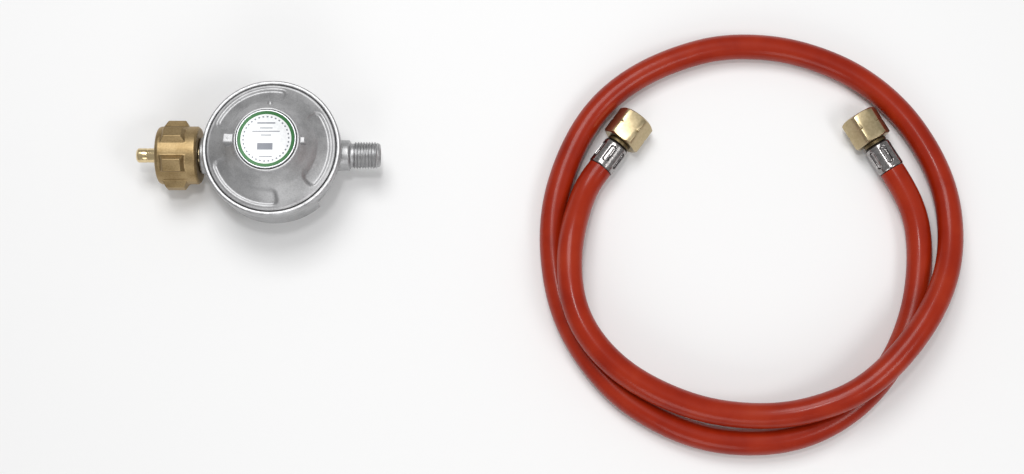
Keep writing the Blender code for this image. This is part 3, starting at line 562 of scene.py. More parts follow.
class Bench:
    """The few hand moves that every piece is made with."""

    @staticmethod
    def clear() -> None:
        """Leaves edit mode and deselects everything."""
        if bpy.context.mode != "OBJECT":
            bpy.ops.object.mode_set(mode="OBJECT")
        bpy.ops.object.select_all(action="DESELECT")

    @staticmethod
    def take(piece: bpy.types.Object) -> bpy.types.Object:
        """Selects one object alone and makes it active."""
        Bench.clear()
        piece.select_set(True)
        bpy.context.view_layer.objects.active = piece
        return piece

    @staticmethod
    def settle(piece: bpy.types.Object) -> None:
        """Puts the piece's place into its mesh."""
        Bench.take(piece)
        bpy.ops.object.transform_apply(location=True, rotation=True, scale=True)

    @staticmethod
    def turned(name: str, profile: Profile, sides: int, ring: bool = False) -> bpy.types.Object:
        """Draws a circle out and in along +Z through a profile, as on a lathe.

        Args:
            name: The piece's name.
            profile: Radius and height of each station, in metres.
            sides: Facets around.
            ring: True where the profile closes on itself; else both ends are filled.

        Returns:
            The piece, about +Z at the origin.
        """
        Bench.clear()
        first_r, first_z = profile[0]
        fill = "NOTHING" if ring else "NGON"
        bpy.ops.mesh.primitive_circle_add(
            vertices=sides, radius=first_r, fill_type=fill, location=(0, 0, first_z)
        )
        piece = bpy.context.active_object
        piece.name = piece.data.name = name
        Bench.settle(piece)
        bpy.ops.object.mode_set(mode="EDIT")
        bpy.ops.mesh.select_all(action="SELECT")
        stations = [*profile[1:], profile[0]] if ring else profile[1:]
        radius, height = first_r, first_z
        for next_r, next_z in stations:
            if ring:
                bpy.ops.mesh.extrude_edges_move(TRANSFORM_OT_translate={"value": (0, 0, next_z - height)})
            else:
                bpy.ops.mesh.extrude_region_move(TRANSFORM_OT_translate={"value": (0, 0, next_z - height)})
            if next_r != radius:
                ratio = next_r / radius
                bpy.ops.transform.resize(value=(ratio, ratio, 1), center_override=(0, 0, next_z))
            radius, height = next_r, next_z
        bpy.ops.mesh.select_all(action="SELECT")
        bpy.ops.mesh.remove_doubles(threshold=1e-6)
        bpy.ops.mesh.normals_make_consistent(inside=False)
        bpy.ops.object.mode_set(mode="OBJECT")
        return piece

    @staticmethod
    def block(name: str, low: Point, high: Point, bevel: float, top: float = 1.0) -> bpy.types.Object:
        """A block between two corners, its edges bevelled and its top drawn in.

        Args:
            name: The piece's name.
            low: Lowest corner.
            high: Highest corner.
            bevel: Width of the bevel.
            top: How far the top face is scaled about the block's middle.

        Returns:
            The piece.
        """
        Bench.clear()
        middle = [(a + b) / 2 for a, b in zip(low, high)]
        bpy.ops.mesh.primitive_cube_add(size=1, location=middle)
        piece = bpy.context.active_object
        piece.name = piece.data.name = name
        piece.scale = [b - a for a, b in zip(low, high)]
        Bench.settle(piece)
        for vertex in piece.data.vertices:
            if vertex.co.z > middle[2]:
                vertex.co.x = middle[0] + (vertex.co.x - middle[0]) * top
                vertex.co.y = middle[1] + (vertex.co.y - middle[1]) * top
        if bevel:
            Bench.rounded(piece, bevel, 3)
        return piece

    @staticmethod
    def rounded(
        piece: bpy.types.Object, width: float, segments: int = 2, degrees: float = 30.0
    ) -> bpy.types.Object:
        """Bevels every edge sharper than an angle."""
        Bench.take(piece)
        step = piece.modifiers.new("edges", "BEVEL")
        step.width = width
        step.segments = segments
        step.limit_method = "ANGLE"
        step.angle_limit = math.radians(degrees)
        step.use_clamp_overlap = True
        bpy.ops.object.modifier_apply(modifier=step.name)
        return piece

    @staticmethod
    def join(
        target: bpy.types.Object, other: bpy.types.Object, how: Blend = Blend.UNION
    ) -> bpy.types.Object:
        """Joins a second solid to the first, or cuts it, and clears the second away."""
        Bench.take(target)
        step = target.modifiers.new("join", "BOOLEAN")
        step.operation = how.value
        step.solver = "EXACT"
        step.object = other
        bpy.ops.object.modifier_apply(modifier=step.name)
        bpy.data.objects.remove(other, do_unlink=True)
        return target

    @staticmethod
    def cast(piece: bpy.types.Object, voxel: float, passes: int) -> bpy.types.Object:
        """Softens a solid as a casting is, with small fillets in every corner.

        Args:
            piece: A closed solid.
            voxel: Size of the remesh's cells.
            passes: How often the surface is smoothed.

        Returns:
            The piece.
        """
        Bench.take(piece)
        piece.data.remesh_voxel_size = voxel
        bpy.ops.object.voxel_remesh()
        step = piece.modifiers.new("soften", "SMOOTH")
        step.factor = 0.5
        step.iterations = passes
        bpy.ops.object.modifier_apply(modifier=step.name)
        Bench.take(piece)
        bpy.ops.object.shade_smooth()
        return piece

    @staticmethod
    def stand(piece: bpy.types.Object, place: Matrix) -> bpy.types.Object:
        """Moves a piece's mesh by a matrix."""
        piece.data.transform(place)
        piece.data.update()
        return piece

    @staticmethod
    def shade(piece: bpy.types.Object, degrees: float = 32.0) -> bpy.types.Object:
        """Smooths all but the sharp edges."""
        Bench.take(piece)
        bpy.ops.object.shade_smooth_by_angle(angle=math.radians(degrees))
        return piece

    @staticmethod
    def sculpt(piece: bpy.types.Object, move: Callable[[Vector], Vector]) -> bpy.types.Object:
        """Passes each point of the mesh through a function."""
        for vertex in piece.data.vertices:
            vertex.co = move(vertex.co)
        piece.data.update()
        return piece

    @staticmethod
    def set_up(
        piece: bpy.types.Object, material: bpy.types.Material, body: str, slot: str, nodes: Sequence[str]
    ) -> bpy.types.Object:
        """Dresses a finished piece and ties it to the frame.

        Args:
            piece: The finished piece.
            material: Its material.
            body: The body that it moves with.
            slot: The record's material slot; not used.
            nodes: The frame's nodes that it stands for.

        Returns:
            The piece.
        """
        piece.data.materials.clear()
        piece.data.materials.append(material)
        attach(piece, body)
        if nodes:
            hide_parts(*nodes)
        LOG.info("%s: %d faces", piece.name, len(getattr(piece.data, "polygons", ())))
        return piece


LYING = Matrix.Translation((0, 0, AXIS_Z)) @ Matrix.Rotation(math.pi / 2, 4, "Y")


def scaled(profile: Profile) -> list[tuple[float, float]]:
    """A profile in mm turned into metres."""
    return [(r * MM, z * MM) for r, z in profile]


def eased(share: float) -> float:
    """A smooth step from 0 to 1."""
    held = min(1.0, max(0.0, share))
    return held * held * (3 - 2 * held)


def smooth_line(points: Sequence[Point], step: float) -> np.ndarray:
    """Points at even steps along the natural cubic spline through the given points.

    Args:
        points: The points that the line passes through.
        step: About how far apart the result's points lie.

    Returns:
        One row for each point.
    """
    knots = np.array(points, float)
    chord = np.concatenate([[0.0], np.cumsum(np.linalg.norm(np.diff(knots, axis=0), axis=1))])
    gaps = np.diff(chord)
    count = len(knots)
    system = np.eye(count)
    right = np.zeros((count, 3))
    slopes = np.diff(knots, axis=0) / gaps[:, None]
    for i in range(1, count - 1):
        system[i, i - 1 : i + 2] = gaps[i - 1], 2 * (gaps[i - 1] + gaps[i]), gaps[i]
        right[i] = 6 * (slopes[i] - slopes[i - 1])
    bends = np.linalg.solve(system, right)
    rows = []
    for distance in np.linspace(0.0, chord[-1], round(chord[-1] / step) + 1):
        i = min(int(np.searchsorted(chord, distance, side="right")) - 1, count - 2)
        before, after, gap = chord[i + 1] - distance, distance - chord[i], gaps[i]
        curved = bends[i] * before**3 / (6 * gap) + bends[i + 1] * after**3 / (6 * gap)
        straight = (knots[i] / gap - bends[i] * gap / 6) * before
        straight += (knots[i + 1] / gap - bends[i + 1] * gap / 6) * after
        rows.append(curved + straight)
    return np.array(rows)


# Sub-assemblies -------------------------------------------------------------------------------------


@dataclass
class Cover:
    """The cast bell with its three sunk pockets, pointer tab, small lug and vent."""

    annulus_r: float = 29.0
    shoulder_r: float = 21.0
    shoulder_z: float = 39.0
    top_r: float = 15.2
    top_z: float = 48.6
    pocket_angles: tuple[float, ...] = (-3.0, 117.0, 237.0)
    pocket_span: float = 87.0
    pocket_depth: float = 1.5
    pocket_low_r: float = 20.6
    pocket_high_r: float = 28.9
    pocket_corner: float = 3.2
    pocket_slope: float = 1.9
    tab_angle: float = 177.0
    finish: CastMetal = CastMetal("cast_zinc_cover", (0.53, 0.53, 0.535), (0.31, 0.31, 0.315), 0.50)

    def profile(self) -> list[tuple[float, float]]:
        """The closed outline: up the outside, down the inside."""
        outside = [(31.7, 29.4), (31.7, 31.6), (30.7, 31.6), (30.7, 32.9), (30.4, 33.2)]
        steps = 22
        for i in range(steps + 1):
            share = i / steps
            r = self.annulus_r + 0.6 - share * (self.annulus_r + 0.6 - self.shoulder_r)
            sag = 0.35 * math.sin(math.pi * share)
            outside.append((r, 33.3 + share * (self.shoulder_z - 33.3) - sag))
        for i in range(1, 15):
            share = i / 14
            flare = 1.1 * math.sin(math.pi * share)
            r = self.shoulder_r + share * (self.top_r + 0.3 - self.shoulder_r) - flare
            outside.append((r, self.shoulder_z + share * (self.top_z - 0.3 - self.shoulder_z)))
        outside += [(self.top_r, self.top_z), (14.4, self.top_z), (14.4, 48.0), (11.2, 48.0)]
        return outside + [(11.2, 41.5), (17.0, 37.0), (26.0, 31.2), (27.0, 30.6), (27.0, 29.4)]

    def sink(self, place: Vector) -> Vector:
        """Lowers a point that lies in a pocket."""
        radius = math.hypot(place.x, place.y) / MM
        height = place.z / MM
        if height < 32.95 or radius < 17.0 or radius > 30.2:
            return place
        inner_surface = 31.2 + (26.0 - radius) * 5.8 / 9.0
        if height < inner_surface + 0.9:
            return place
        middle_r = (self.pocket_low_r + self.pocket_high_r) / 2
        half_width = (self.pocket_high_r - self.pocket_low_r) / 2
        half_length = math.radians(self.pocket_span / 2) * middle_r
        corner = self.pocket_corner
        drop = 0.0
        for middle in self.pocket_angles:
            turn = math.atan2(place.y, place.x) - math.radians(middle)
            turn = (turn + math.pi) % (2 * math.pi) - math.pi
            across = abs(radius - middle_r) - half_width + corner
            along = abs(turn) * middle_r - half_length + corner
            outside = math.hypot(max(across, 0.0), max(along, 0.0))
            distance = outside + min(max(across, along), 0.0) - corner
            drop = max(drop, eased(-distance / self.pocket_slope))
        lowered = place.copy()
        lowered.z -= drop * self.pocket_depth * MM
        return lowered

    def tab(self) -> bpy.types.Object:
        """The raised pointer beside the label."""
        low, high = (14.6 * MM, -2.5 * MM, 40.0 * MM), (21.0 * MM, 2.5 * MM, 47.7 * MM)
        tab = Bench.block("tab", low, high, 0.35 * MM, 0.86)
        return Bench.stand(tab, Matrix.Rotation(math.radians(self.tab_angle), 4, "Z"))

    def build(self) -> None:
        """Models and dresses the cover."""
        bell = Bench.turned("cover_bell", scaled(self.profile()), 200, ring=True)
        Bench.sculpt(bell, self.sink)
        Bench.join(bell, self.tab())
        low, high = (14.4 * MM, -1.8 * MM, 41.0 * MM), (18.2 * MM, 1.8 * MM, 47.6 * MM)
        Bench.join(bell, Bench.block("lug", low, high, 0.3 * MM, 0.8))
        vent = Bench.turned("vent", scaled([(1.25, 9.0), (1.25, 24.0)]), 24)
        Bench.stand(vent, Matrix.Translation((0, 0, 40.0 * MM)) @ Matrix.Rotation(-math.pi / 2, 4, "X"))
        Bench.join(bell, vent, Blend.CUT)
        Bench.cast(bell, 0.36 * MM, 2)
        Bench.set_up(bell, self.finish.build(), "root", "cast_zinc", ["cover"])
        self.arrow()

    def arrow(self) -> None:
        """A plain raised arrow on the pointer tab."""
        Bench.clear()
        bpy.ops.mesh.primitive_cylinder_add(
            vertices=3, radius=0.75 * MM, depth=0.35 * MM, location=(0, 0, 0)
        )
        arrow = bpy.context.active_object
        arrow.name = arrow.data.name = "pointer_arrow"
        Bench.rounded(arrow, 0.08 * MM, 2)
        turn = Matrix.Rotation(math.radians(self.tab_angle), 4, "Z")
        place = turn @ Matrix.Translation((18.4 * MM, 0, 47.75 * MM))
        Bench.stand(arrow, place @ Matrix.Rotation(-math.pi / 2, 4, "Z"))
        Bench.shade(arrow)
        Bench.set_up(arrow, self.finish.build(), "root", "cast_zinc", [])


@dataclass
class Housing:
    """The cast lower half: cup with its rolled rim, skirts, bosses and the outlet's thread."""

    thread_r: float = 6.5
    thread_root_r: float = 5.6
    thread_pitch: float = 1.337
    thread_turns: int = 9
    thread_start: float = 37.9
    end_x: float = 50.7
    skirt_half_angle: float = 42.0
    cast_finish: CastMetal = CastMetal(
        "cast_zinc_housing", (0.50, 0.50, 0.505), (0.29, 0.29, 0.295), 0.46
    )
    rim_finish: CastMetal = CastMetal(
        "rolled_zinc_rim", (0.50, 0.50, 0.505), (0.30, 0.30, 0.305), 0.42, 1900.0, 0.00004
    )

    def cup(self) -> bpy.types.Object:
        """The cup below the rim, hollow from above."""
        outline = [
            (20.0, 0.0), (21.0, 0.1), (22.5, 1.2), (27.5, 5.0), (29.0, 7.6), (29.5, 9.6), (29.5, 23.8),
            (30.2, 24.8), (32.6, 26.4), (32.6, 28.2), (26.5, 28.2), (26.5, 7.5), (25.0, 6.0), (20.0, 6.0),
        ]
        return Bench.turned("housing_cup", scaled(outline), 120)

    def skirt(self, middle: float) -> bpy.types.Object:
        """A thick side skirt, with a step at each end.

        Args:
            middle: The skirt's middle angle about +Z, in degrees.

        Returns:
            The skirt as a solid.
        """
        low, high = 10.6, 26.6
        outline = [(28.6, low), (31.6, low), (32.5, low + 1.0), (32.6, high), (28.6, high)]
        band = Bench.turned("skirt", scaled(outline), 120, ring=True)
        reach = 60.0 * MM
        for side in (-1, 1):
            Bench.clear()
            bpy.ops.mesh.primitive_cube_add(size=2 * reach)
            block = bpy.context.active_object
            edge = math.radians(middle + side * self.skirt_half_angle)
            away = Matrix.Rotation(edge, 4, "Z") @ Matrix.Translation((0, side * reach, 0))
            Bench.stand(block, away)
            Bench.join(band, block, Blend.CUT)
        return band

    def build(self) -> None:
        """Models and dresses the housing, its rim and its thread."""
        cup = self.cup()
        for middle in (90.0, 270.0):
            Bench.join(cup, self.skirt(middle))
        boss = [(8.5, -35.7), (9.0, -35.2), (9.0, -27.0), (6.0, -26.0), (6.0, -20.5)]
        Bench.join(cup, Bench.stand(Bench.turned("inlet_boss", scaled(boss), 64), LYING))
        neck = [(7.4, 27.1), (7.4, 35.7), (6.9, 36.2), (5.75, 36.6), (5.72, 50.2), (5.3, self.end_x)]
        Bench.join(cup, Bench.stand(Bench.turned("outlet_neck", scaled(neck), 64), LYING))
        bore = [(4.0, 22.0), (4.0, 49.8), (4.7, self.end_x + 0.2), (4.7, 54.0)]
        Bench.join(cup, Bench.stand(Bench.turned("outlet_bore", scaled(bore), 48), LYING), Blend.CUT)
        recess = [(6.4, -38.0), (6.4, -34.3), (5.0, -34.2), (5.0, -27.0), (3.9, -27.0), (3.9, -18.0)]
        Bench.join(cup, Bench.stand(Bench.turned("inlet_recess", scaled(recess), 48), LYING), Blend.CUT)
        Bench.cast(cup, 0.42 * MM, 2)
        Bench.set_up(cup, self.cast_finish.build(), "root", "cast_zinc", ["lower_housing"])
        self.rim()
        self.thread()

    def rim(self) -> None:
        """The bright rim rolled over the cover's flange."""
        outline = [
            (32.0, 28.2), (33.0, 26.8), (33.0, 32.3), (32.8, 32.75), (32.4, 33.0), (31.5, 33.0),
            (31.15, 32.85), (31.0, 32.5), (31.0, 31.9), (32.0, 31.9),
        ]
        rim = Bench.turned("rolled_rim", scaled(outline), 220, ring=True)
        Bench.rounded(rim, 0.18 * MM, 2)

        def hammered(place: Vector) -> Vector:
            """Works a faint wave into the rim, as rolling leaves."""
            angle = math.atan2(place.y, place.x)
            wave = 0.035 * math.sin(37 * angle) + 0.025 * math.sin(61 * angle + 1.0)
            return Vector((place.x, place.y, place.z + wave * MM * eased((place.z / MM - 31.0) / 1.5)))

        Bench.sculpt(rim, hammered)
        Bench.shade(rim, 40.0)
        Bench.set_up(rim, self.rim_finish.build(), "root", "cast_zinc", [])

    def thread(self) -> None:
        """The outlet's left-hand thread: a ridge wound round the neck."""
        Bench.clear()
        root, pitch = self.thread_root_r, self.thread_pitch
        corners = ((root, -0.60), (self.thread_r, -0.10), (self.thread_r, 0.10), (root, 0.60))
        bpy.ops.mesh.primitive_plane_add(size=1)
        ridge = bpy.context.active_object
        ridge.name = ridge.data.name = "outlet_thread"
        for vertex, (r, h) in zip(ridge.data.vertices, (corners[0], corners[1], corners[3], corners[2])):
            vertex.co = Vector((r * MM, 0, h * MM))
        Bench.take(ridge)
        bpy.ops.object.mode_set(mode="EDIT")
        bpy.ops.mesh.select_all(action="SELECT")
        bpy.ops.mesh.delete(type="ONLY_FACE")
        bpy.ops.object.mode_set(mode="OBJECT")
        winding = ridge.modifiers.new("winding", "SCREW")
        winding.angle = -2 * math.pi
        winding.screw_offset = pitch * MM
        winding.iterations = self.thread_turns
        winding.steps = winding.render_steps = 64
        winding.use_merge_vertices = False
        bpy.ops.object.modifier_apply(modifier=winding.name)
        bpy.ops.object.mode_set(mode="EDIT")
        bpy.ops.mesh.select_all(action="SELECT")
        bpy.ops.mesh.fill_holes(sides=6)
        bpy.ops.mesh.select_all(action="SELECT")
        bpy.ops.mesh.normals_make_consistent(inside=False)
        bpy.ops.object.mode_set(mode="OBJECT")
        start = self.thread_start * MM
        span = pitch * self.thread_turns * MM

        def tapered(place: Vector) -> Vector:
            """Runs the ridge out into the neck at both ends."""
            share = place.z / span
            keep = min(eased(share / 0.06 + 0.35), eased((1.0 - share) / 0.09 + 0.2))
            radius = math.hypot(place.x, place.y)
            pulled = root * MM + max(radius - root * MM, 0.0) * keep
            return Vector((place.x * pulled / radius, place.y * pulled / radius, place.z))

        Bench.sculpt(ridge, tapered)
        Bench.stand(ridge, LYING @ Matrix.Translation((0, 0, start)))
        Bench.shade(ridge, 50.0)
        Bench.set_up(ridge, self.rim_finish.build(), "root", "cast_zinc", [])


@dataclass
class LabelPlate:
    """The round foil plate in the top of the bell."""

    radius: float = 14.0

    def build(self) -> None:
        """Models and dresses the plate."""
        low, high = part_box("label_plate")
        profile = [
            (self.radius * MM, low[2]), (self.radius * MM, high[2] - 0.25 * MM), (13.85 * MM, high[2]),
            (13.5 * MM, high[2]), (13.4 * MM, high[2] - 0.12 * MM),
        ]
        plate = Bench.turned("foil_plate", profile, 160)
        Bench.rounded(plate, 0.05 * MM, 2)
        Bench.shade(plate)
        Bench.set_up(plate, PrintedFoil(self.radius * MM).build(), "root", "label_plate", ["label_plate"])


@dataclass
class InletCoupling:
    """The lugged brass nut round its polished spigot."""

    nut_r: float = 14.0
    lug_r: float = 16.6
    front_x: float = -56.3
    back_x: float = -36.2
    lugs: int = 6
    lug_middle_x: float = -47.6
    lug_root_r: float = 12.4
    lug_half_length: float = 6.6
    lug_half_width: float = 4.6
    lug_taper: float = 0.64
    brass: CastMetal = CastMetal(
        "tumbled_brass", (0.43, 0.315, 0.165), (0.22, 0.145, 0.06), 0.44, 1500.0, 0.00006
    )

    def lug(self, number: int) -> bpy.types.Object:
        """One tapered lug, leaning on the nut's back half."""
        half_length, half_width = self.lug_half_length * MM, self.lug_half_width * MM
        low = (-half_length, -half_width, self.lug_root_r * MM)
        high = (half_length, half_width, self.lug_r * MM)
        lug = Bench.block("lug", low, high, 0.0, self.lug_taper)
        turn = 2 * math.pi * number / self.lugs + math.pi / 2
        middle = Matrix.Translation((self.lug_middle_x * MM, 0, AXIS_Z))
        place = middle @ Matrix.Rotation(turn, 4, "X")
        return Bench.stand(lug, place)

    def build(self) -> None:
        """Models and dresses the nut and the spigot."""
        pitch, bore, crest = 1.814, 10.9, 10.2
        wall = self.back_x - 5.0
        inside = []
        position = wall - 1.2
        while position - pitch > self.front_x + 0.4:
            inside += [(bore, position), (crest, position - 0.45 * pitch), (crest, position - 0.55 * pitch)]
            position -= pitch
        outline = [
            (11.4, self.front_x), (self.nut_r - 1.5, self.front_x),
            (self.nut_r - 0.5, self.front_x + 0.5), (self.nut_r, self.front_x + 1.6),
            (self.nut_r, self.back_x - 1.0), (self.nut_r - 1.0, self.back_x),
            (6.3, self.back_x), (6.3, wall), (10.4, wall), *inside,
        ]
        nut = Bench.stand(Bench.turned("lugged_nut", scaled(outline), 96, ring=True), LYING)
        for number in range(self.lugs):
            Bench.join(nut, self.lug(number))
        Bench.cast(nut, 0.30 * MM, 3)
        Bench.set_up(nut, self.brass.build(), "inlet_nut", "nut_brass", ["inlet_nut"])
        self.spigot()

    def spigot(self) -> None:
        """The polished nipple that passes through the nut."""
        outline = [
            (2.0, -66.6), (2.4, -67.0), (2.8, -67.0), (3.5, -66.2), (3.5, -62.2), (3.35, -62.0),
            (3.35, -61.6), (3.5, -61.4), (3.5, -46.0), (8.6, -46.0), (8.6, -41.5), (6.0, -41.5),
            (6.0, -36.0), (4.7, -36.0), (4.7, -31.3), (2.0, -31.3),
        ]
        spigot = Bench.turned("spigot_nipple", scaled(outline), 96, ring=True)
        Bench.rounded(spigot, 0.12 * MM, 2)
        Bench.stand(spigot, LYING)
        Bench.shade(spigot)
        lying = (0, -math.pi / 2, 0)
        bright, dull = (0.86, 0.70, 0.42), (0.60, 0.44, 0.22)
        finish = TurnedMetal("polished_brass", bright, dull, 0.14, (0, 0, AXIS_Z), lying)
        Bench.set_up(spigot, finish.build(), "root", "polished_brass", ["inlet_spigot"])


@dataclass
class HoseEnd:
    """One end of the hose: crimped ferrule, tail and notched swivel nut."""

    letter: str
    end: Point
    inner: Point
    slots: int = 6
    slot_middle: float = 7.4
    slot_depth: float = 0.95
    slot_edge: float = 0.55
    ferrule_start: float = 0.3
    ferrule_stop: float = 14.3
    ferrule_r: float = 6.55
    flats: float = 17.0
    nut_start: float = 16.5
    nut_stop: float = 31.5
    thread_pitch: float = 1.337
    nut_brass: CastMetal = CastMetal(
        "pale_hex_brass", (0.53, 0.435, 0.27), (0.38, 0.30, 0.165), 0.30, 800.0, 0.00002
    )

    @property
    def place(self) -> Matrix:
        """From the fitting's own +Z to its place in the frame."""
        away = (Vector(self.end) - Vector(self.inner)).to_2d().normalized()
        turn = math.atan2(away.y, away.x)
        aimed = Matrix.Rotation(turn, 4, "Z") @ Matrix.Rotation(math.pi / 2, 4, "Y")
        return Matrix.Translation(Vector(self.end) * MM) @ aimed

    def ferrule(self) -> bpy.types.Object:
        """The sleeve, pressed in with long round-ended slots."""
        start, stop, top = self.ferrule_start, self.ferrule_stop, self.ferrule_r
        outline = [(4.2, start), (6.2, start), (top, start + 0.5)]
        steps, draft, length = 44, 0.12, stop - 2.0 - start
        for i in range(steps + 1):
            outline.append((top - draft * i / steps, start + 0.8 + length * i / steps))
        outline += [(6.1, stop - 0.4), (5.6, stop), (4.2, stop)]
        sleeve = Bench.turned(f"crimped_ferrule_{self.letter}", scaled(outline), 144, ring=True)
        half_length, half_width = 4.7, 1.75

        def pressed(place: Vector) -> Vector:
            """Presses the slots in."""
            radius = math.hypot(place.x, place.y) / MM
            if radius < 5.9:
                return place
            angle = math.atan2(place.y, place.x)
            share = 2 * math.pi / self.slots
            turn = (angle + share / 2) % share - share / 2
            along = max(abs(place.z / MM - self.slot_middle) - half_length + half_width, 0.0)
            distance = math.hypot(along, turn * radius) - half_width
            depth = self.slot_depth * eased(-distance / self.slot_edge)
            keep = (radius - depth) / radius
            return Vector((place.x * keep, place.y * keep, place.z))

        Bench.sculpt(sleeve, pressed)
        Bench.stand(sleeve, self.place)
        return Bench.shade(sleeve, 50.0)

    def tail(self) -> bpy.types.Object:
        """The hose tail that the nut turns on."""
        outline = [
            (2.1, 0.3), (3.9, 0.3), (3.9, 14.6), (5.8, 14.6), (5.8, 16.2), (4.2, 16.2),
            (4.2, 20.3), (5.3, 20.3), (5.3, 21.8), (3.3, 23.7), (2.1, 23.7),
        ]
        tail = Bench.turned(f"hose_tail_{self.letter}", scaled(outline), 64, ring=True)
        Bench.rounded(tail, 0.12 * MM, 2)
        Bench.stand(tail, self.place)
        return Bench.shade(tail)

    def nut(self) -> bpy.types.Object:
        """The hexagon nut with a V notch round its corners."""
        point_r = self.flats / 2 / math.cos(math.pi / 6)
        corner = point_r - 0.1
        start, stop, pitch = self.nut_start, self.nut_stop, self.thread_pitch
        middle = (start + stop) / 2
        inside = []
        position = stop - 0.6
        while position - pitch > 21.0:
            inside += [(5.75, position - 0.55), (5.75, position - 0.78), (6.45, position - pitch)]
            position -= pitch
        outline = [
            (4.5, start), (corner - 1.4, start), (corner, start + 0.75), (corner, middle - 0.5),
            (corner - 0.6, middle), (corner, middle + 0.5), (corner, stop - 1.0),
            (corner - 1.7, stop), (6.8, stop), (6.45, stop - 0.6),
            *inside, (6.45, 19.7), (4.5, 19.7),
        ]
        nut = Bench.turned(f"hexagon_nut_{self.letter}", scaled(outline), 96, ring=True)
        Bench.clear()
        bpy.ops.mesh.primitive_cylinder_add(
            vertices=6, radius=point_r * MM, depth=20 * MM, location=(0, 0, middle * MM)
        )
        hexagon = bpy.context.active_object
        Bench.settle(hexagon)
        Bench.join(nut, hexagon, Blend.COMMON)
        Bench.rounded(nut, 0.14 * MM, 2, 35.0)
        Bench.stand(nut, self.place)
        return Bench.shade(nut, 25.0)

    def build(self) -> list[bpy.types.Object]:
        """Models and dresses the three pieces, and returns them."""
        body = f"hose_nut_{self.letter}"
        # The tail's brass colour is darkened as painted shade for the gap between the ferrule and the nut.
        turned = TurnedMetal("shaded_tail_brass", (0.17, 0.13, 0.07), (0.09, 0.065, 0.035), 0.38)
        centre, axis = tuple(self.place.translation), tuple(self.place.col[2].xyz)
        floor_r, land_r = 5.72 * MM, 6.30 * MM
        steel = PressedMetal(f"plated_ferrule_{self.letter}", centre, axis, floor_r, land_r).build()
        brass = self.nut_brass.build()
        return [
            Bench.set_up(self.ferrule(), steel, "root", "plated_steel", [f"ferrule_{self.letter}"]),
            Bench.set_up(self.tail(), turned.build(), "root", "polished_brass", [f"tail_{self.letter}"]),
            Bench.set_up(self.nut(), brass, body, "pale_brass", [f"hose_nut_{self.letter}"]),
        ]


@dataclass
class Hose:
    """The red hose, lying in one and two thirds turns."""

    finish: BraidedRubber = BraidedRubber()
    step: float = 3.5 * MM
    sides: int = 28

    def build(self) -> None:
        ends = [
            *HoseEnd("a", ROUTE_MM[0], ROUTE_MM[1]).build(),
            *HoseEnd("b", ROUTE_MM[-1], ROUTE_MM[-2]).build(),
        ]
        line = smooth_line([tuple(part * MM for part in point) for point in ROUTE_MM], self.step)
        Bench.clear()
        bpy.ops.curve.primitive_bezier_curve_add()
        hose = bpy.context.active_object
        hose.name = hose.data.name = "red_hose"
        curve = hose.data
        curve.splines.clear()
        spline = curve.splines.new("POLY")
        spline.points.add(len(line) - 1)
        for point, place in zip(spline.points, line):
            point.co = (*place, 1.0)
        curve.dimensions = "3D"
        curve.bevel_depth = HOSE_D / 2
        curve.bevel_resolution = self.sides // 4
        curve.use_fill_caps = True
        hose.location = (0, 0, 0)
        Bench.take(hose)
        bpy.ops.object.convert(target="MESH")
        hose = bpy.context.active_object
        Bench.shade(hose, 60.0)
        Bench.set_up(hose, self.finish.build(), "root", "red_braid", ["hose"])


@dataclass
class Inside:
    """What the casing holds: the frame's own solids, with better finishes."""

    frame: dict
    steel: tuple[str, ...] = (
        "main_spring", "spring_plate", "lower_plate", "relief_spring", "relief_clip", "lever", "lever_pin",
        "inlet_filter",
    )
    brass: tuple[str, ...] = ("diaphragm_stem", "valve_plunger", "inlet_nozzle")
    rubber: tuple[str, ...] = ("diaphragm", "valve_pad", "inlet_seal", "inlet_o_ring")
    plastic: tuple[str, ...] = ("adjuster_ring",)

    def build(self) -> None:
        """Gives each node its material."""
        groups: Iterable[tuple[tuple[str, ...], bpy.types.Material]] = (
            (self.steel, CastMetal("spring_steel", (0.50, 0.50, 0.52), (0.30, 0.30, 0.32), 0.3).build()),
            (self.brass, TurnedMetal("inner_brass", (0.72, 0.54, 0.28), (0.5, 0.35, 0.16), 0.25).build()),
            (self.rubber, Moulded("black_rubber", (0.018, 0.018, 0.02), 0.62).build()),
            (self.plastic, Moulded("white_nylon", (0.62, 0.62, 0.58), 0.45).build()),
        )
        for names, material in groups:
            for name in names:
                node = self.frame["nodes"][name]
                node.data.materials.clear()
                node.data.materials.append(material)
                LOG.info("%s: finished as %s", name, material.name)


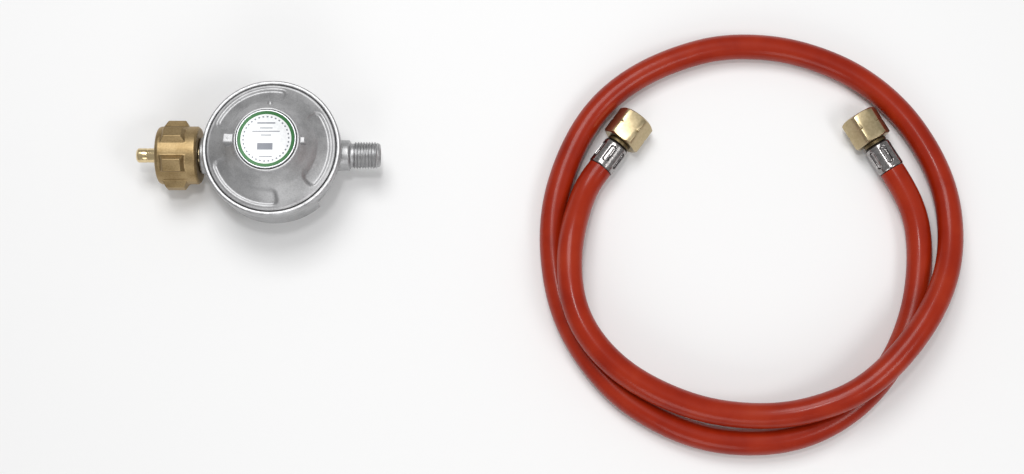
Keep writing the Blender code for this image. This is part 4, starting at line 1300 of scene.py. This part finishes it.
@dataclass
class Studio:
    """Floor, light and camera."""

    aim: Point = (0.1145, -0.0385, 0.008)
    distance: float = 0.80
    elevation: float = 79.0
    field_width: float = 0.497
    sensor: float = 36.0
    sky: float = 0.38
    lamps: tuple[tuple[str, Point, float, float], ...] = (
        ("key", (-0.05, 0.45, 1.0), 0.50, 5.6),
        ("spark", (0.06, 0.06, 1.15), 0.10, 2.0),
        ("fill", (0.75, -0.35, 0.9), 0.35, 2.4),
        ("front", (0.05, -1.0, 0.55), 0.5, 2.2),
    )

    def camera(self) -> None:
        """Looks down at the set, leaning towards the viewer."""
        data = bpy.data.cameras.new("camera")
        camera = bpy.data.objects.new("camera", data)
        bpy.context.scene.collection.objects.link(camera)
        lean = math.radians(self.elevation)
        back = Vector((0, -math.cos(lean), math.sin(lean)))
        camera.location = Vector(self.aim) + back * self.distance
        camera.rotation_euler = back.to_track_quat("Z", "Y").to_euler()
        data.sensor_width = self.sensor
        data.lens = self.sensor * self.distance / self.field_width
        data.clip_start = 0.01
        bpy.context.scene.camera = camera

    def light(self, name: str, place: Point, size: float, power: float) -> None:
        """A soft square light that faces the set.

        Args:
            name: The light's name.
            place: Where it hangs.
            size: Its side.
            power: Its power in watts.
        """
        data = bpy.data.lights.new(name, "AREA")
        data.size = size
        data.energy = power
        lamp = bpy.data.objects.new(name, data)
        lamp.location = place
        lamp.rotation_euler = (Vector(place) - Vector(self.aim)).to_track_quat("Z", "Y").to_euler()
        bpy.context.scene.collection.objects.link(lamp)

    def build(self) -> None:
        """Sets up the floor, the lights, the sky and the camera."""
        Bench.clear()
        bpy.ops.mesh.primitive_plane_add(size=6.0, location=(0.1, 0, -0.0002))
        floor = bpy.context.active_object
        floor.name = "floor"
        shade = Shader("pale_floor")
        floor.data.materials.append(shade.finish(Base_Color=(0.86, 0.86, 0.86), Roughness=0.8))
        for lamp in self.lamps:
            self.light(*lamp)
        world = bpy.data.worlds.new("sky")
        bpy.context.scene.world = world
        world.use_nodes = True
        sky = world.node_tree.nodes["Background"]
        sky.inputs[0].default_value = (1.0, 1.0, 1.0, 1.0)
        sky.inputs[1].default_value = self.sky
        bpy.context.scene.view_settings.view_transform = "Standard"
        self.camera()


@dataclass
class Regulator:
    """The whole set."""

    frame: dict
    parts: list = field(default_factory=list)

    def build(self) -> None:
        """Builds every sub-assembly in order."""
        self.parts = [Hose(), Cover(), Housing(), LabelPlate(), InletCoupling(), Inside(self.frame)]
        for part in self.parts:
            LOG.info("building %s", type(part).__name__)
            part.build()


def main() -> None:
    """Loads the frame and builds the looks."""
    logging.basicConfig(level=logging.INFO, format="%(message)s")
    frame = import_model()
    Studio().build()
    Regulator(frame).build()


if __name__ == "__main__":
    main()
